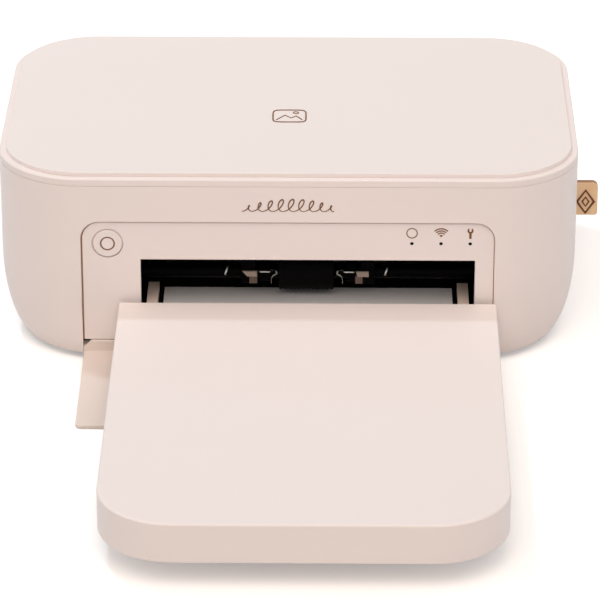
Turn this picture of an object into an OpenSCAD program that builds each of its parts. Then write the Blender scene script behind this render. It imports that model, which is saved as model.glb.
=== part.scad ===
// Compact dye-sublimation photo printer with its paper cassette pushed in and its front door folded down.
// Millimetres. X runs to the right seen from the front, Y to the back, Z up. The origin lies on the table,
// under the centre of the housing.

/* [Housing] */
// Housing beyond the paper's width, both sides together
body_room = 101.6; // [98:0.1:120]
// Depth of the housing
body_d = 133; // [130:1:150]
// Height of the side wall, from its bottom edge to the seam
side_h = 64.4; // [64:0.2:72]
// Corner radius in plan
corner_r = 30; // [26:1:31]
// Wall thickness
wall = 2.2; // [1.8:0.1:2.4]
// How far each side tucks in towards its bottom edge
side_tuck = 7.2; // [4:0.2:8]
// Height over which the sides tuck in
tuck_h = 29; // [20:1:29]
// Thickness of the rim above the seam
rim_t = 2.7; // [2.4:0.1:3.5]
// Height of the raised top plate
plate_h = 1.5; // [1:0.1:2]
// Distance of the top plate from the rim's edge
plate_inset = 2.45; // [2:0.05:4]
// Height of the rubber feet under the housing
foot_h = 2.6; // [2.4:0.1:3.4]
// Radius of a foot
foot_r = 6; // [5:0.5:7]

/* [Front panel] */
// Panel's recess beyond the slot's width, both sides together
panel_room = 27.4; // [26:0.1:29]
// Height of the recess above the slot's top
panel_h = 14.5; // [14:0.1:17]
// Radius of the recess's top corners
panel_r = 6.6; // [3:0.1:8]
// Depth of the panel's face behind the housing's front
recess = 1.3; // [1:0.1:1.6]
// Thickness of the panel
panel_t = 2.4; // [2:0.1:2.6]
// Slot beyond the paper's width, for the cassette's arms and guides
slot_room = 14.5; // [14.5:0.1:15.5]
// Height of the slot's top above the housing's bottom edge
slot_h = 36.3; // [35.5:0.1:37]

/* [Controls] */
// Radius of the power button
button_r = 5.4; // [4.5:0.1:6]
// Button centre from the recess's left edge
button_in = 9.35; // [8.5:0.05:10]
// Button centre above the slot's top
button_h = 6.1; // [5:0.1:6.5]
// Travel of the power button
button_travel = 0.8; // [0.5:0.1:1]
// Middle indicator from the recess's right edge
led_in = 18.7; // [18:0.05:20]
// Distance between indicators
led_pitch = 10.15; // [8:0.05:11]
// Indicators above the slot's top
led_h = 6.4; // [6:0.1:7.5]
// Radius of an indicator's light pipe
led_r = 0.6; // [0.5:0.1:1]

/* [Front door] */
// Length of the folded door in front of the housing
door_len = 53.2; // [48:0.1:54]
// Thickness of the door
door_t = 1.2; // [1:0.1:1.4]
// Top of the door's upright strip, above the housing's bottom edge
riser_h = 5.0; // [4.6:0.1:5]
// Radius of the hinge stubs
door_pin_r = 0.9; // [0.8:0.05:1]

/* [Ribbon door] */
// Length of the ribbon door along the side
side_door_l = 62; // [60:1:63]
// Height of the ribbon door
side_door_h = 30; // [29:0.5:30]
// Radius of its hinge wire
door_wire_r = 0.6; // [0.5:0.05:0.7]
// Height of the leather tab
tab_h = 12.8; // [10:0.1:14]
// Thickness of the folded leather
tab_t = 2.4; // [2:0.1:3]
// How far the tab stands out of the side
tab_out = 8.2; // [6:0.1:10]

/* [Paper and cassette] */
// Width of the paper
paper_w = 102.4; // [101.6:0.1:102.6]
// Length of the paper with its two tear-off strips
paper_l = 176; // [148:0.5:176]
// Height of the paper stack
stack_h = 5.2; // [2:0.1:5.2]
// Sideways offset of the paper path to the right
path_x = 7; // [6.5:0.1:7.5]
// Cassette's lid beyond the slot's width, both sides together
tray_room = 15.3; // [14.5:0.1:17]
// Lid ahead of the paper's front edge
tray_ahead = 11; // [8:0.1:14]
// Height of the lid
tray_h = 13.9; // [13.8:0.1:14.4]
// Radius of the lid's front corners
tray_r = 25; // [18:0.5:28]
// Wall of the lid
tray_wall = 1.8; // [1.6:0.1:2]
// Thickness of the cassette's floor
floor_t = 1.3; // [1.2:0.1:1.6]

/* [Rollers] */
// Pickup shaft behind the housing's front
pickup_back = 19.5; // [19:0.1:20.5]
// Radius of the pickup roller
pickup_r = 6.5; // [6:0.1:6.6]
// Feed roller behind the housing's front
feed_back = 46.5; // [46:0.1:47.5]
// Radius of the feed roller
feed_r = 5; // [4.5:0.1:5.2]
// Radius of the pinch roller
pinch_r = 4; // [3.5:0.1:4.2]
// Platen roller behind the housing's front
platen_back = 67.5; // [67:0.1:68.5]
// Radius of the platen roller
platen_r = 7.5; // [7:0.1:8]
// Radius of the roller shafts
shaft_r = 2.5; // [2:0.1:2.8]
// Running clearance of a shaft in its bore, on the radius
run_gap = 0.05; // [0.02:0.01:0.08]

/* [Ribbon] */
// Distance between the two spools
spool_gap = 34; // [33:0.5:36]
// Height of the spools above the paper path
spool_h = 19.2; // [19:0.1:20]
// Outer radius of a spool housing
spool_r = 9.5; // [9:0.1:9.8]
// Radius of the film on the supply spool
supply_r = 8; // [6:0.1:8]
// Radius of the film on the take-up spool
takeup_r = 6; // [4.5:0.1:8]

/* [Gears] */
// Gear module
gear_m = 0.8; // [0.78:0.01:0.82]
// Width of a gear
gear_w = 4; // [3:0.5:4]
// Teeth on the feed gear
feed_teeth = 26; // [26:1:28]
// Teeth on the idler gear
idler_teeth = 16; // [16:1:17]
// Teeth on the pickup gear
pickup_teeth = 16; // [16:1:18]
// Teeth on a motor pinion
pinion_teeth = 12; // [12:1:13]
// Teeth on the take-up gear
takeup_teeth = 28; // [26:1:28]

/* [Hidden] */
$fn = 48;

// colours
SHELL = "#EFE3DF";
PANEL = "#E2CFC4";
BLACK = "#1C1B1C";
STEEL = "#B9BABC";
RUBBER = "#2A292B";
LEATHER = "#C08D5F";
BOARD = "#2F5D46";
GEAR = "#E9E6DF";

// small named distances
gap = 0.3;          // between pieces that move or drop in
seam_gap = 0.25;    // fine line round the front panel
eps = 0.01;
over = 1;           // how far a cutter runs past a face

// widths, all from the paper's
slot_w = paper_w + slot_room;
tray_w = slot_w + tray_room;
panel_w = slot_w + panel_room;
body_w = paper_w + body_room;

// housing
front_y = -body_d/2;
back_y = body_d/2;
side_x = body_w/2;
base_z = foot_h;
seam_z = foot_h + side_h;
rim_z = seam_z + rim_t;
top_z = rim_z + plate_h;
rim_round = 1.3;
plate_round = 1.1;
lip_t = 1.6;
lip_h = 3.5;
tuck_end = 70;      // the side's curve stops at this angle
tuck_step = 10;
pan_t = 2.2;
pan_z = base_z + pan_t;
flange = 1;         // how far the panel's flange reaches behind the wall
screw_x = side_x - 19;
screw_y = 38;
screw_r = 1.25;
boss_r = 3.4;
boss_h = 17;
foot_x = side_x - 34;
foot_y = back_y - 14.5;

// front
panel_y = front_y + recess;
panel_back = panel_y + panel_t;
riser_z = base_z + riser_h;
panel_low = riser_z + 0.7;
door_w = panel_w - 2*gap;
hinge_y = front_y + 1.6;
hinge_z = base_z + 1.6;
barrel_r = 1.3;
ear_w = 4;
button_x = button_in - panel_w/2;
led_x = panel_w/2 - led_in;
slot_top = base_z + slot_h;
button_z = slot_top + button_h;
led_z = slot_top + led_h;
board_y = front_y + 9.5;
board_t = 1.4;
switch_h = 1.3;
switch_tip = 0.4;

// cassette
floor_z = riser_z + 1.8;
floor_top = floor_z + floor_t;
plate_z = floor_top + gap;
lift_t = 1;
stack_z = plate_z + lift_t;
stack_top = stack_z + stack_h;
lead_y = front_y + 24.5;                 // leading edge of the paper
tray_back = front_y - 1.5;
tray_front = lead_y - paper_l - tray_ahead;
tray_l = tray_back - tray_front;
tray_low = floor_z + 0.1;
tray_top = tray_low + tray_h;
lid_under = tray_top - tray_wall;
tray_half = tray_w/2;
bed_half = tray_half - tray_wall - 0.4;  // outside of the cassette's side walls
bed_wall = 2;
bed_front = tray_front + tray_wall + 0.6;
bed_r = tray_r - tray_wall;
lid_pin_y = tray_back - 1.8;
lid_pin_z = lid_under - 0.6;
lid_pin_r = 0.8;
lid_pin_l = 1.5;
lid_knuckle_r = 1;
insert_half = slot_w/2 - 1.75;           // half width of the part that enters the slot
arm_t = 3.8;
arm_top = floor_z + 11.6;
arm_front = front_y + 0.2;
arm_back = lead_y + 1.5;
insert_back = lead_y + 3;
guide_t = insert_half - arm_t - paper_w/2 - 0.15;
lift_hinge_y = lead_y - paper_l + 8;
lift_half = paper_w/2 - 4.2;             // half width of the plate under the paper
lift_rod_r = 0.45;

// paper path
pickup_y = front_y + pickup_back;
feed_y = front_y + feed_back;
platen_y = front_y + platen_back;
lift_room = 2.4;                          // drop from the pickup roller to the stack
pickup_z = stack_top + lift_room + pickup_r;
path_z = pickup_z + pickup_r;
feed_z = path_z - gap - feed_r;
pinch_z = path_z + pinch_r;
platen_z = path_z - gap - platen_r;
pinch_pin_r = 1.5;

// frames
frame_t = 2.5;
frame_half = slot_w/2 + 0.8;              // inside of the frames, from the path's middle
left_in = path_x - frame_half;
right_in = path_x + frame_half;
left_out = left_in - frame_t;
right_out = right_in + frame_t;
frame_front = front_y + 6.5;
pivot_y = platen_y + 41;
pivot_z = path_z + 5.7;
pivot_r = 2;
frame_back = pivot_y + 8;
frame_top = seam_z - 5;
brace_h = 6;

// ribbon
spool_z = path_z + spool_h;
supply_y = platen_y - spool_gap/2;
takeup_y = platen_y + spool_gap/2;
cart_left = left_in + 2.6;
cart_right = right_in - 2.2;
cap_t = 2;
film_half = paper_w/2 - 1;
film_t = 0.2;
journal_r = 2.5;
head_z = path_z + 0.6;
head_h = 8;
head_d = 11;
cheek_t = 1.2;

// gears, outside the left frame
gear_x = left_out - 1.2 - gear_w;
pitch = gear_m/2;
feed_to_idler = pitch*(feed_teeth + idler_teeth);
idler_to_pickup = pitch*(idler_teeth + pickup_teeth);
feed_to_pickup = norm([feed_y - pickup_y, feed_z - pickup_z]);
pickup_turn = atan2(pickup_z - feed_z, pickup_y - feed_y);
// the idler sits below the line between the two shafts: a triangle with three known sides
idler_bend = acos((pow(feed_to_idler, 2) + pow(feed_to_pickup, 2) - pow(idler_to_pickup, 2))
    / (2*feed_to_idler*feed_to_pickup));
idler_turn = pickup_turn + idler_bend;
idler_y = feed_y + feed_to_idler*cos(idler_turn);
idler_z = feed_z + feed_to_idler*sin(idler_turn);
motor_turn = 118;
motor_y = feed_y + pitch*(feed_teeth + pinion_teeth)*cos(motor_turn);
motor_z = feed_z + pitch*(feed_teeth + pinion_teeth)*sin(motor_turn);
winder_turn = -62;
winder_y = takeup_y + pitch*(takeup_teeth + pinion_teeth)*cos(winder_turn);
winder_z = spool_z + pitch*(takeup_teeth + pinion_teeth)*sin(winder_turn);
gear_plate_x = gear_x - 1.2;
gear_plate_t = 1.2;
motor_r = 10;
motor_l = 20;
motor_shaft_r = 1;
stud_r = 1.5;

// side door
door_y = platen_y;
door_front = door_y - side_door_l/2;
door_back = door_y + side_door_l/2;
door_low = base_z + tuck_h + 1.4;
door_high = door_low + side_door_h;
wire_x = side_x - wall/2;
wire_y = door_back - 0.2;
tab_y = door_front + 4.6;
tab_z = door_low + 6.1;

// rear
rear_slot_z = path_z - 2.6;
rear_slot_h = 8;
board_edge = left_out - 2.8;             // edge of the main board beside the left frame
board_w = 20.5;
jack_x = left_out - 12.25;
usb_x = left_out + 13.75;
io_z = base_z + 9.4;
vent_w = 2.4;
vent_h = 12;
vent_pitch = 6;
vent_count = 15;

// --- shapes used by several pieces ---

// a box from one corner to the opposite one
module block(x0, x1, y0, y1, z0, z1) {
    translate([x0, y0, z0]) cube([x1 - x0, y1 - y0, z1 - z0]);
}

// rounded rectangle in plan
module plan(w, d, r) {
    square([w - 2*r, d], center = true);
    square([w, d - 2*r], center = true);
    for (x = [-1, 1], y = [-1, 1])
        translate([x*(w/2 - r), y*(d/2 - r)]) circle(r);
}

// an outline in the XZ plane, from y0 backwards by t
module face(y0, t) {
    translate([0, y0 + t, 0]) rotate([90, 0, 0]) linear_extrude(t) children();
}

// an outline in the YZ plane, from x0 to the right by l
module section(x0, l) {
    translate([x0, 0, 0]) rotate([90, 0, 90]) linear_extrude(l) children();
}

// round bar along X
module bar_x(x0, l, r, y, z) {
    translate([x0, y, z]) rotate([0, 90, 0]) cylinder(h = l, r = r);
}

// round bar along Y
module bar_y(y0, l, r, x, z) {
    translate([x, y0, z]) rotate([-90, 0, 0]) cylinder(h = l, r = r);
}

module edge_profile(r, h, f) {
    square([r - f, h]);
    square([r, h - f]);
    intersection() {
        translate([r - f, h - f]) circle(f);
        square([r, h]);
    }
}

module bar_profile(w, h, f) {
    for (m = [0, 1]) mirror([m, 0]) edge_profile(w/2, h, f);
}

// rounded slab with a rounded top edge
module slab(w, d, r, h, f) {
    for (x = [-1, 1], y = [-1, 1])
        translate([x*(w/2 - r), y*(d/2 - r), 0]) rotate_extrude() edge_profile(r, h, f);
    rotate([90, 0, 0]) linear_extrude(d - 2*r, center = true) bar_profile(w, h, f);
    rotate([90, 0, 90]) linear_extrude(w - 2*r, center = true) bar_profile(d, h, f);
}

// where the inside of the front wall lies at a distance x from the middle, at height z
function tuck_at(z) = tuck_in(asin(max(0, 1 - (z - base_z)/tuck_h)*sin(tuck_end)));
function wall_in(x, z) =
    let (r = corner_r - wall, out = max(0, x - side_x + tuck_at(z) + corner_r))
        corner_r - body_d/2 - sqrt(r*r - out*out);
function tuck_in(a) = side_tuck*(1 - cos(a))/(1 - cos(tuck_end));
function tuck_up(a) = base_z + tuck_h*(1 - sin(a)/sin(tuck_end));

// one level of the housing, moved in by t on the left and right and by inset all round
module level(z, t, inset) {
    translate([0, 0, z]) linear_extrude(eps)
        plan(body_w - 2*(t + inset), body_d - 2*inset, corner_r - inset, $fn = 32);
}

// the housing's form: upright above, tucked in on both sides below
module body_form(inset, past) {
    hull() {
        level(seam_z - eps + past, 0, inset);
        for (a = [0 : tuck_step : tuck_end]) level(tuck_up(a), tuck_in(a), inset);
        level(base_z - past, side_tuck, inset);
    }
}

// outline of the front recess, seen from the front
module recess_outline(grow) {
    w = panel_w + 2*grow;
    r = panel_r + grow;
    high = slot_top + panel_h + grow;
    translate([-w/2, 0]) square([w, high - r]);
    translate([-w/2 + r, 0]) square([w - 2*r, high]);
    for (x = [-1, 1]) translate([x*(w/2 - r), high - r]) circle(r);
}

// involute gear outline, a tooth pointing at angle turn
function involute(a) = tan(a)*180/PI - a;
function polar(r, a) = [r*cos(a), r*sin(a)];
module gear_outline(teeth, turn, bore) {
    rp = pitch*teeth;
    rb = rp*cos(20);
    tip = rp + 0.85*gear_m;
    root = rp - 1.15*gear_m;
    start = max(rb, root);
    half = 90/teeth - 0.06/rp*180/PI + involute(20);
    steps = 3;
    radii = [for (i = [0 : steps]) start + (tip - start)*i/steps];
    flank = [for (r = radii) half - involute(acos(rb/r))];
    difference() {
        polygon([
            for (t = [0 : teeth - 1])
                let (c = turn + 360*t/teeth)
                    each concat(
                        [polar(root, c - flank[0])],
                        [for (i = [0 : steps]) polar(radii[i], c - flank[i])],
                        [for (i = [steps : -1 : 0]) polar(radii[i], c + flank[i])],
                        [polar(root, c + flank[0])]
                    )
        ]);
        circle(bore);
    }
}

// the turn of a gear that meshes with one at angle `turn`, seen along `toward`
function mesh(teeth, turn, toward, teeth2) =
    toward + 180 + 180/teeth2 + (toward - turn)*teeth/teeth2;

module gear(teeth, turn, bore, y, z) {
    section(gear_x, gear_w) translate([y, z]) gear_outline(teeth, turn, bore);
}

feed_phase = 0;
idler_phase = mesh(feed_teeth, feed_phase, idler_turn, idler_teeth);
idler_toward = atan2(pickup_z - idler_z, pickup_y - idler_y);
pickup_phase = mesh(idler_teeth, idler_phase, idler_toward, pickup_teeth);
motor_phase = mesh(feed_teeth, feed_phase, motor_turn, pinion_teeth);
takeup_phase = 0;
winder_phase = mesh(takeup_teeth, takeup_phase, winder_turn, pinion_teeth);

// --- housing ---

// four-sided moulding, open above and below, with bosses for the base screws
module body_shell() {
    color(SHELL) difference() {
        body_form(0, 0);
        difference() {
            body_form(wall, over);
            shell_bosses();
            door_ears();
        }
        face(front_y - over, wall + 2*over) recess_outline(0);
        block(-panel_w/2, panel_w/2, front_y - over, front_y + wall + over, 0, base_z + over);
        bar_x(-panel_w/2 - ear_w + over, panel_w + 2*ear_w - 2*over, door_pin_r + run_gap, hinge_y, hinge_z);
        for (x = [-1, 1], y = [-1, 1]) translate([x*screw_x, y*screw_y, base_z])
            cylinder(h = 12, r = screw_r - 0.1);
        block(side_x - 3*wall, side_x + over, door_front, wire_y + wall/2 + gap + 0.1, door_low, door_high);
        translate([wire_x, wire_y, door_low - 3]) cylinder(h = side_door_h + 6, r = door_wire_r + 0.02);
        rear_openings();
    }
}

module shell_bosses() {
    for (x = [-1, 1], y = [-1, 1]) {
        translate([x*screw_x, y*screw_y, pan_z]) cylinder(h = boss_h, r = boss_r);
        translate([x*(screw_x + side_x)/2, y*screw_y, pan_z + boss_h/2])
            cube([side_x - screw_x, 1.8, boss_h], center = true);
    }
}

// blocks inside the front wall that hold the door's hinge stubs
module door_ears() {
    for (m = [0, 1]) mirror([m, 0, 0])
        block(panel_w/2, panel_w/2 + ear_w, front_y, front_y + 4, base_z - over, base_z + 5.4);
}

module rear_openings() {
    block(path_x - slot_w/2, path_x + slot_w/2, back_y - 2*wall, back_y + over, rear_slot_z,
        rear_slot_z + rear_slot_h);
    for (i = [0 : vent_count - 1])
        translate([path_x + (i - (vent_count - 1)/2)*vent_pitch, back_y - wall, rear_slot_z + 15])
            slit(vent_w, vent_h);
    block(usb_x - 7, usb_x + 7, back_y - 2*wall, back_y + over, io_z - 0.4, io_z + 7.4);
    bar_y(back_y - 2*wall, 3*wall, 5.2, jack_x, io_z + 5.4);
}

// upright slit with round ends, cut through a wall along Y
module slit(w, h) {
    face(-over, wall + 2*over) {
        translate([-w/2, w/2]) square([w, h - w]);
        translate([0, w/2]) circle(w/2);
        translate([0, h - w/2]) circle(w/2);
    }
}

// flat pan that closes the bottom; the engine stands on it
module base_pan() {
    color(SHELL) difference() {
        union() {
            translate([0, 0, base_z]) linear_extrude(pan_t)
                plan(body_w - 2*(side_tuck + wall + gap), body_d - 2*(wall + gap), corner_r - wall - gap);
            for (x = [2.5, board_w - 3], y = [-30, 20, 55]) translate([board_edge - x, y, pan_z])
                cylinder(h = io_z - board_t - pan_z, r = 2.2);
            for (y = [-50 : 25 : 50]) block(right_out + 8, side_x - 18, y - 0.8, y + 0.8, pan_z - eps,
                pan_z + 3);
        }
        block(-panel_w/2 - ear_w - gap, panel_w/2 + ear_w + gap, front_y - over, front_y + 6,
            base_z - over, pan_z + over);
        for (x = [-1, 1], y = [-1, 1]) {
            translate([x*screw_x, y*screw_y, base_z - over]) {
                cylinder(h = 4, r = screw_r + 0.35);
                cylinder(h = over + 1.3, r = 2.9);
            }
            translate([x*foot_x, y*foot_y, base_z - over]) cylinder(h = over + 0.8, r = foot_r + 0.1);
        }
        for (i = [-4 : 4]) translate([path_x + i*7, 26, base_z + pan_t/2])
            cube([2.4, 26, 2*pan_t], center = true);
    }
}

// four rubber feet, each set in a shallow pocket of the pan
module feet() {
    color(RUBBER) for (x = [-1, 1], y = [-1, 1]) translate([x*foot_x, y*foot_y, 0]) {
        cylinder(h = 0.6, r1 = foot_r - 0.6, r2 = foot_r);
        translate([0, 0, 0.6]) cylinder(h = foot_h + 0.2, r = foot_r);
    }
}

module base_screws() {
    color(STEEL) for (x = [-1, 1], y = [-1, 1]) translate([x*screw_x, y*screw_y, base_z]) {
        difference() {
            cylinder(h = 1.3, r = 2.6);
            translate([0, 0, -over]) cylinder(h = over + 0.8, r = 1.3, $fn = 6);
        }
        cylinder(h = 11, r = screw_r - 0.12);
    }
}

// rim above the seam, with a lip that drops inside the shell
module top_cover() {
    color(SHELL) {
        translate([0, 0, seam_z]) slab(body_w, body_d, corner_r, rim_t, rim_round);
        translate([0, 0, seam_z - lip_h]) linear_extrude(lip_h) difference() {
            plan(body_w - 2*wall - 0.4, body_d - 2*wall - 0.4, corner_r - wall - 0.2);
            plan(body_w - 2*(wall + lip_t), body_d - 2*(wall + lip_t), corner_r - wall - lip_t);
        }
        for (x = [-60 : 20 : 60]) block(x - 0.7, x + 0.7, back_y - 16, back_y - wall - lip_t, seam_z - 2,
            seam_z);
    }
}

// raised plate that lies on the rim
module top_plate() {
    color(SHELL) translate([0, 0, rim_z])
        slab(body_w - 2*plate_inset, body_d - 2*plate_inset, corner_r - plate_inset, plate_h, plate_round);
}

// --- front ---

// recessed panel with the slot; a flange behind the shell's wall locates it
module front_panel() {
    flange_y = wall_in(panel_w/2 + flange, panel_low) + 0.2;
    color(PANEL) difference() {
        union() {
            intersection() {
                face(panel_y, panel_t) recess_outline(-seam_gap);
                block(-side_x, side_x, front_y, back_y, panel_low, seam_z);
            }
            intersection() {
                face(flange_y, panel_back - flange_y) recess_outline(flange);
                block(-side_x, side_x, front_y, back_y, panel_low, seam_z);
            }
            for (x = [-1, 1]) bar_y(panel_back - eps, board_y - panel_back + eps, 1.6, button_x + x*5.6,
                button_z - 6.2);
            for (x = [-1, 1]) bar_y(panel_back - eps, board_y - panel_back + eps, 1.6, led_x + x*11,
                led_z + 3.4);
        }
        block(path_x - slot_w/2, path_x + slot_w/2, front_y - over, panel_back + over, 0, slot_top);
        bar_y(panel_y - over, panel_t + 2*over, button_r + 0.2, button_x, button_z);
        for (i = [-1 : 1])
            bar_y(panel_y - over, panel_t + 2*over, led_r + 0.05, led_x + i*led_pitch, led_z);
    }
}

// fold-down door: an upright strip, a barrel with stub pins, and the thin flap that lies forward
module front_door() {
    flap_z = base_z + 1.0;
    tip_y = front_y - door_len;
    color(SHELL) {
        intersection() {
            section(-door_w/2, door_w) union() {
                translate([front_y, flap_z]) square([1.3, riser_z - flap_z]);
                translate([hinge_y, hinge_z]) circle(barrel_r);
                polygon([[front_y, flap_z - door_t], [front_y, flap_z], [tip_y, 0.3 + door_t], [tip_y, 0.3]]);
                translate([front_y, flap_z - door_t]) square([1.6, door_t]);
            }
            door_outline(tip_y);
        }
        for (m = [0, 1]) mirror([m, 0, 0])
            bar_x(door_w/2 - over, over + gap + ear_w - 1.4, door_pin_r, hinge_y, hinge_z);
    }
}

// keeps the flap's tip corners round and cuts the strip's top corners off
module door_outline(tip_y) {
    intersection() {
        translate([0, tip_y + 50, -over]) linear_extrude(2*seam_z) plan(door_w, 100, 1.8);
        face(tip_y - over, door_len + 20) polygon([
            [-door_w/2, -over], [door_w/2, -over], [door_w/2, riser_z - 2.6], [door_w/2 - 2, riser_z],
            [2 - door_w/2, riser_z], [-door_w/2, riser_z - 2.6]
        ]);
    }
}

module power_button() {
    ring_r = 2.4;
    color(SHELL) difference() {
        union() {
            bar_y(panel_y - 0.3, panel_t + 0.6, button_r, button_x, button_z);
            bar_y(panel_back + gap, 1, button_r + 0.8, button_x, button_z);
            bar_y(panel_back + gap, board_y - switch_h - switch_tip - button_travel - 0.1 - panel_back - gap,
                1.6, button_x, button_z);
        }
        translate([button_x, panel_y - 0.3 + 0.25, button_z]) rotate([90, 0, 0]) difference() {
            cylinder(h = over, r = ring_r + 0.2);
            cylinder(h = over, r = ring_r - 0.2);
        }
    }
}

module tact_switch() {
    color(BLACK) {
        translate([button_x, board_y - switch_h/2, button_z]) cube([6, switch_h, 6], center = true);
        bar_y(board_y - switch_h - switch_tip, switch_tip + eps, 1.7, button_x, button_z);
    }
}

module button_board() {
    color(BOARD) difference() {
        block(button_x - 8, button_x + 7, board_y, board_y + board_t, button_z - 8, button_z + 7);
        bar_y(board_y - over, board_t + 2*over, 0.6, button_x + 5.2, button_z + 5);
    }
}

// three clear pins joined by a bar behind the panel
module led_pipes() {
    color("#D8D2C4") {
        for (i = [-1 : 1]) bar_y(panel_y, panel_t + 1.5, led_r, led_x + i*led_pitch, led_z);
        block(led_x - led_pitch - 1.2, led_x + led_pitch + 1.2, panel_back + 0.2, panel_back + 1.7,
            led_z - 1.2, led_z + 1.2);
    }
}

module status_board() {
    color(BOARD) {
        block(led_x - 12.6, right_in - gap, board_y, board_y + board_t, led_z - 4, led_z + 5.2);
        for (i = [-1 : 1]) translate([led_x + i*led_pitch, board_y - 0.6, led_z])
            cube([1.6, 1.2 + eps, 0.8], center = true);
    }
}

// --- ribbon door and its leather tab ---

module ribbon_door() {
    color(SHELL) difference() {
        union() {
            block(side_x - wall, side_x, door_front + gap, wire_y, door_low + gap, door_high - gap);
            translate([wire_x, wire_y, door_low + gap]) cylinder(h = side_door_h - 2*gap, r = wall/2);
            for (z = [door_low + 3, door_high - 4.4])
                block(side_x - wall - 1.2, side_x - wall + eps, tab_y + 5, wire_y - 4, z, z + 1.4);
        }
        translate([wire_x, wire_y, door_low - over])
            cylinder(h = side_door_h + 2*over, r = door_wire_r + run_gap);
        block(side_x - wall - over, side_x + over, tab_y - tab_t/2 - 0.15, tab_y + tab_t/2 + 0.15,
            tab_z - 0.15, tab_z + tab_h + 0.15);
    }
}

module ribbon_door_pin() {
    color(STEEL) translate([wire_x, wire_y, door_low - 2.8]) cylinder(h = side_door_h + 5.6, r = door_wire_r);
}

// folded leather strip through a slit in the door, with a bead inside that keeps it there
module pull_tab() {
    corner = 2;
    tip = side_x + tab_out;
    color(LEATHER) {
        face(tab_y - tab_t/2, tab_t) {
            translate([side_x - wall - 1.2, tab_z]) square([wall + 1.2 + tab_out - corner, tab_h]);
            translate([tip - corner - eps, tab_z + corner/2]) square([corner + eps, tab_h - 1.5*corner]);
            translate([tip - corner, tab_z + tab_h - corner]) circle(corner);
            translate([tip - corner/2 - corner/2 - eps, tab_z]) square([corner/2, corner]);
            translate([tip - corner/2, tab_z + corner/2]) circle(corner/2);
        }
        block(side_x - wall - 2.4, side_x - wall - 0.2, tab_y - tab_t/2 - 1.2, tab_y + tab_t/2 + 1.2,
            tab_z + 0.4, tab_z + tab_h - 0.4);
    }
}

// --- engine frame and guides ---

module frame_outline() {
    translate([frame_front, pan_z]) square([frame_back - frame_front, frame_top - pan_z]);
}

module frame_bores() {
    translate([pickup_y, pickup_z]) circle(shaft_r + run_gap);
    translate([feed_y, feed_z]) circle(shaft_r + run_gap);
    translate([feed_y, pinch_z]) circle(pinch_pin_r + run_gap);
    translate([platen_y, platen_z]) circle(shaft_r + run_gap);
    translate([pivot_y, pivot_z]) circle(pivot_r);
}

module left_frame() {
    color(BLACK) {
        section(left_out, frame_t) difference() {
            frame_outline();
            frame_bores();
            translate([takeup_y, spool_z]) circle(journal_r + run_gap);
            translate([pivot_y - 6, pan_z + 8]) circle(5);
            translate([frame_front - over, frame_top - 10]) square([14, 11]);
        }
        for (y = [frame_front + 4, frame_back - 12])
            difference() {
                block(left_out - 7, left_out + eps, y, y + 8, pan_z, pan_z + 2);
                translate([left_out - 3.6, y + 4, pan_z - over]) cylinder(h = 4, r = 1.6);
            }
    }
}

// the right frame has a window through which the ribbon cartridge slides in
module right_frame() {
    color(BLACK) {
        section(right_in, frame_t) difference() {
            frame_outline();
            frame_bores();
            cartridge_window();
            translate([frame_front - over, frame_top - 10]) square([14, 11]);
        }
        for (y = [frame_front + 4, frame_back - 12])
            difference() {
                block(right_out - eps, right_out + 7, y, y + 8, pan_z, pan_z + 2);
                translate([right_out + 3.6, y + 4, pan_z - over]) cylinder(h = 4, r = 1.6);
            }
    }
}

module cartridge_window() {
    for (y = [supply_y, takeup_y]) translate([y, spool_z]) circle(spool_r + 0.6);
    translate([supply_y, spool_z - 5]) square([spool_gap, 10 + 0.6]);
}

// channel that ties the two frames together behind the ribbon
module cross_brace() {
    color(STEEL) section(left_in, 2*frame_half) difference() {
        translate([frame_back - 9, frame_top - brace_h]) square([8, brace_h]);
        translate([frame_back - 8, frame_top - brace_h - over]) square([6, brace_h]);
    }
}

// floor under the cassette that turns up into the ramp behind it
module lower_guide() {
    ramp = feed_y - 5.6 - insert_back - 1;
    rise = path_z - 2.2 - floor_z;
    color(BLACK) section(left_in + gap, 2*frame_half - 2*gap) difference() {
        union() {
            translate([frame_front, pan_z]) square([insert_back + 4 - frame_front, floor_z - 0.5 - pan_z]);
            difference() {
                translate([insert_back + 1, pan_z]) square([ramp, rise + floor_z - pan_z - 12]);
                translate([insert_back + 1, floor_z + rise]) scale([1, 1]) circle(r = ramp - 1);
            }
        }
        translate([frame_front - over, pan_z - over])
            square([insert_back + 2 - frame_front, floor_z - pan_z - 0.9]);
    }
}

// roof of the slot
module upper_guide() {
    z0 = slot_top + 0.6;
    color(BLACK) section(left_in + gap, 2*frame_half - 2*gap) union() {
        translate([frame_front, z0]) square([feed_y - 8 - frame_front, 1.6]);
        for (y = [board_y + board_t + 2 : 8 : feed_y - 12]) translate([y, z0]) square([1.2, 3.4]);
    }
}

// hangers under the roof that carry the pickup shaft beside its roller
module shaft_hangers() {
    z0 = slot_top + 0.6;
    color("#8E7468") for (m = [0, 1]) translate([path_x, 0, 0]) mirror([m, 0, 0])
        section(18.7, 4.8) difference() {
            union() {
                translate([pickup_y - 4.4, pickup_z]) square([8.8, z0 - pickup_z]);
                translate([pickup_y, pickup_z]) circle(4.4);
            }
            translate([pickup_y, pickup_z]) circle(shaft_r + run_gap);
        }
}

// carries the paper from the platen out through the back
module rear_guide() {
    z0 = path_z - gap;
    color(BLACK) {
        section(path_x - frame_half + gap, 2*frame_half - 2*gap) polygon([
            [platen_y + 9, z0 - 1.6], [platen_y + 9, z0 - 0.5], [platen_y + 11, z0], [back_y - 6, z0],
            [back_y - 6, z0 - 1.6]
        ]);
        for (x = [-44 : 11 : 44])
            section(path_x + x - 0.6, 1.2) polygon([
                [platen_y + 12, z0 - 1.6], [frame_back + 4, z0 - 1.6], [frame_back + 4, z0 - 6],
                [platen_y + 16, z0 - 4]
            ]);
    }
}

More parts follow.
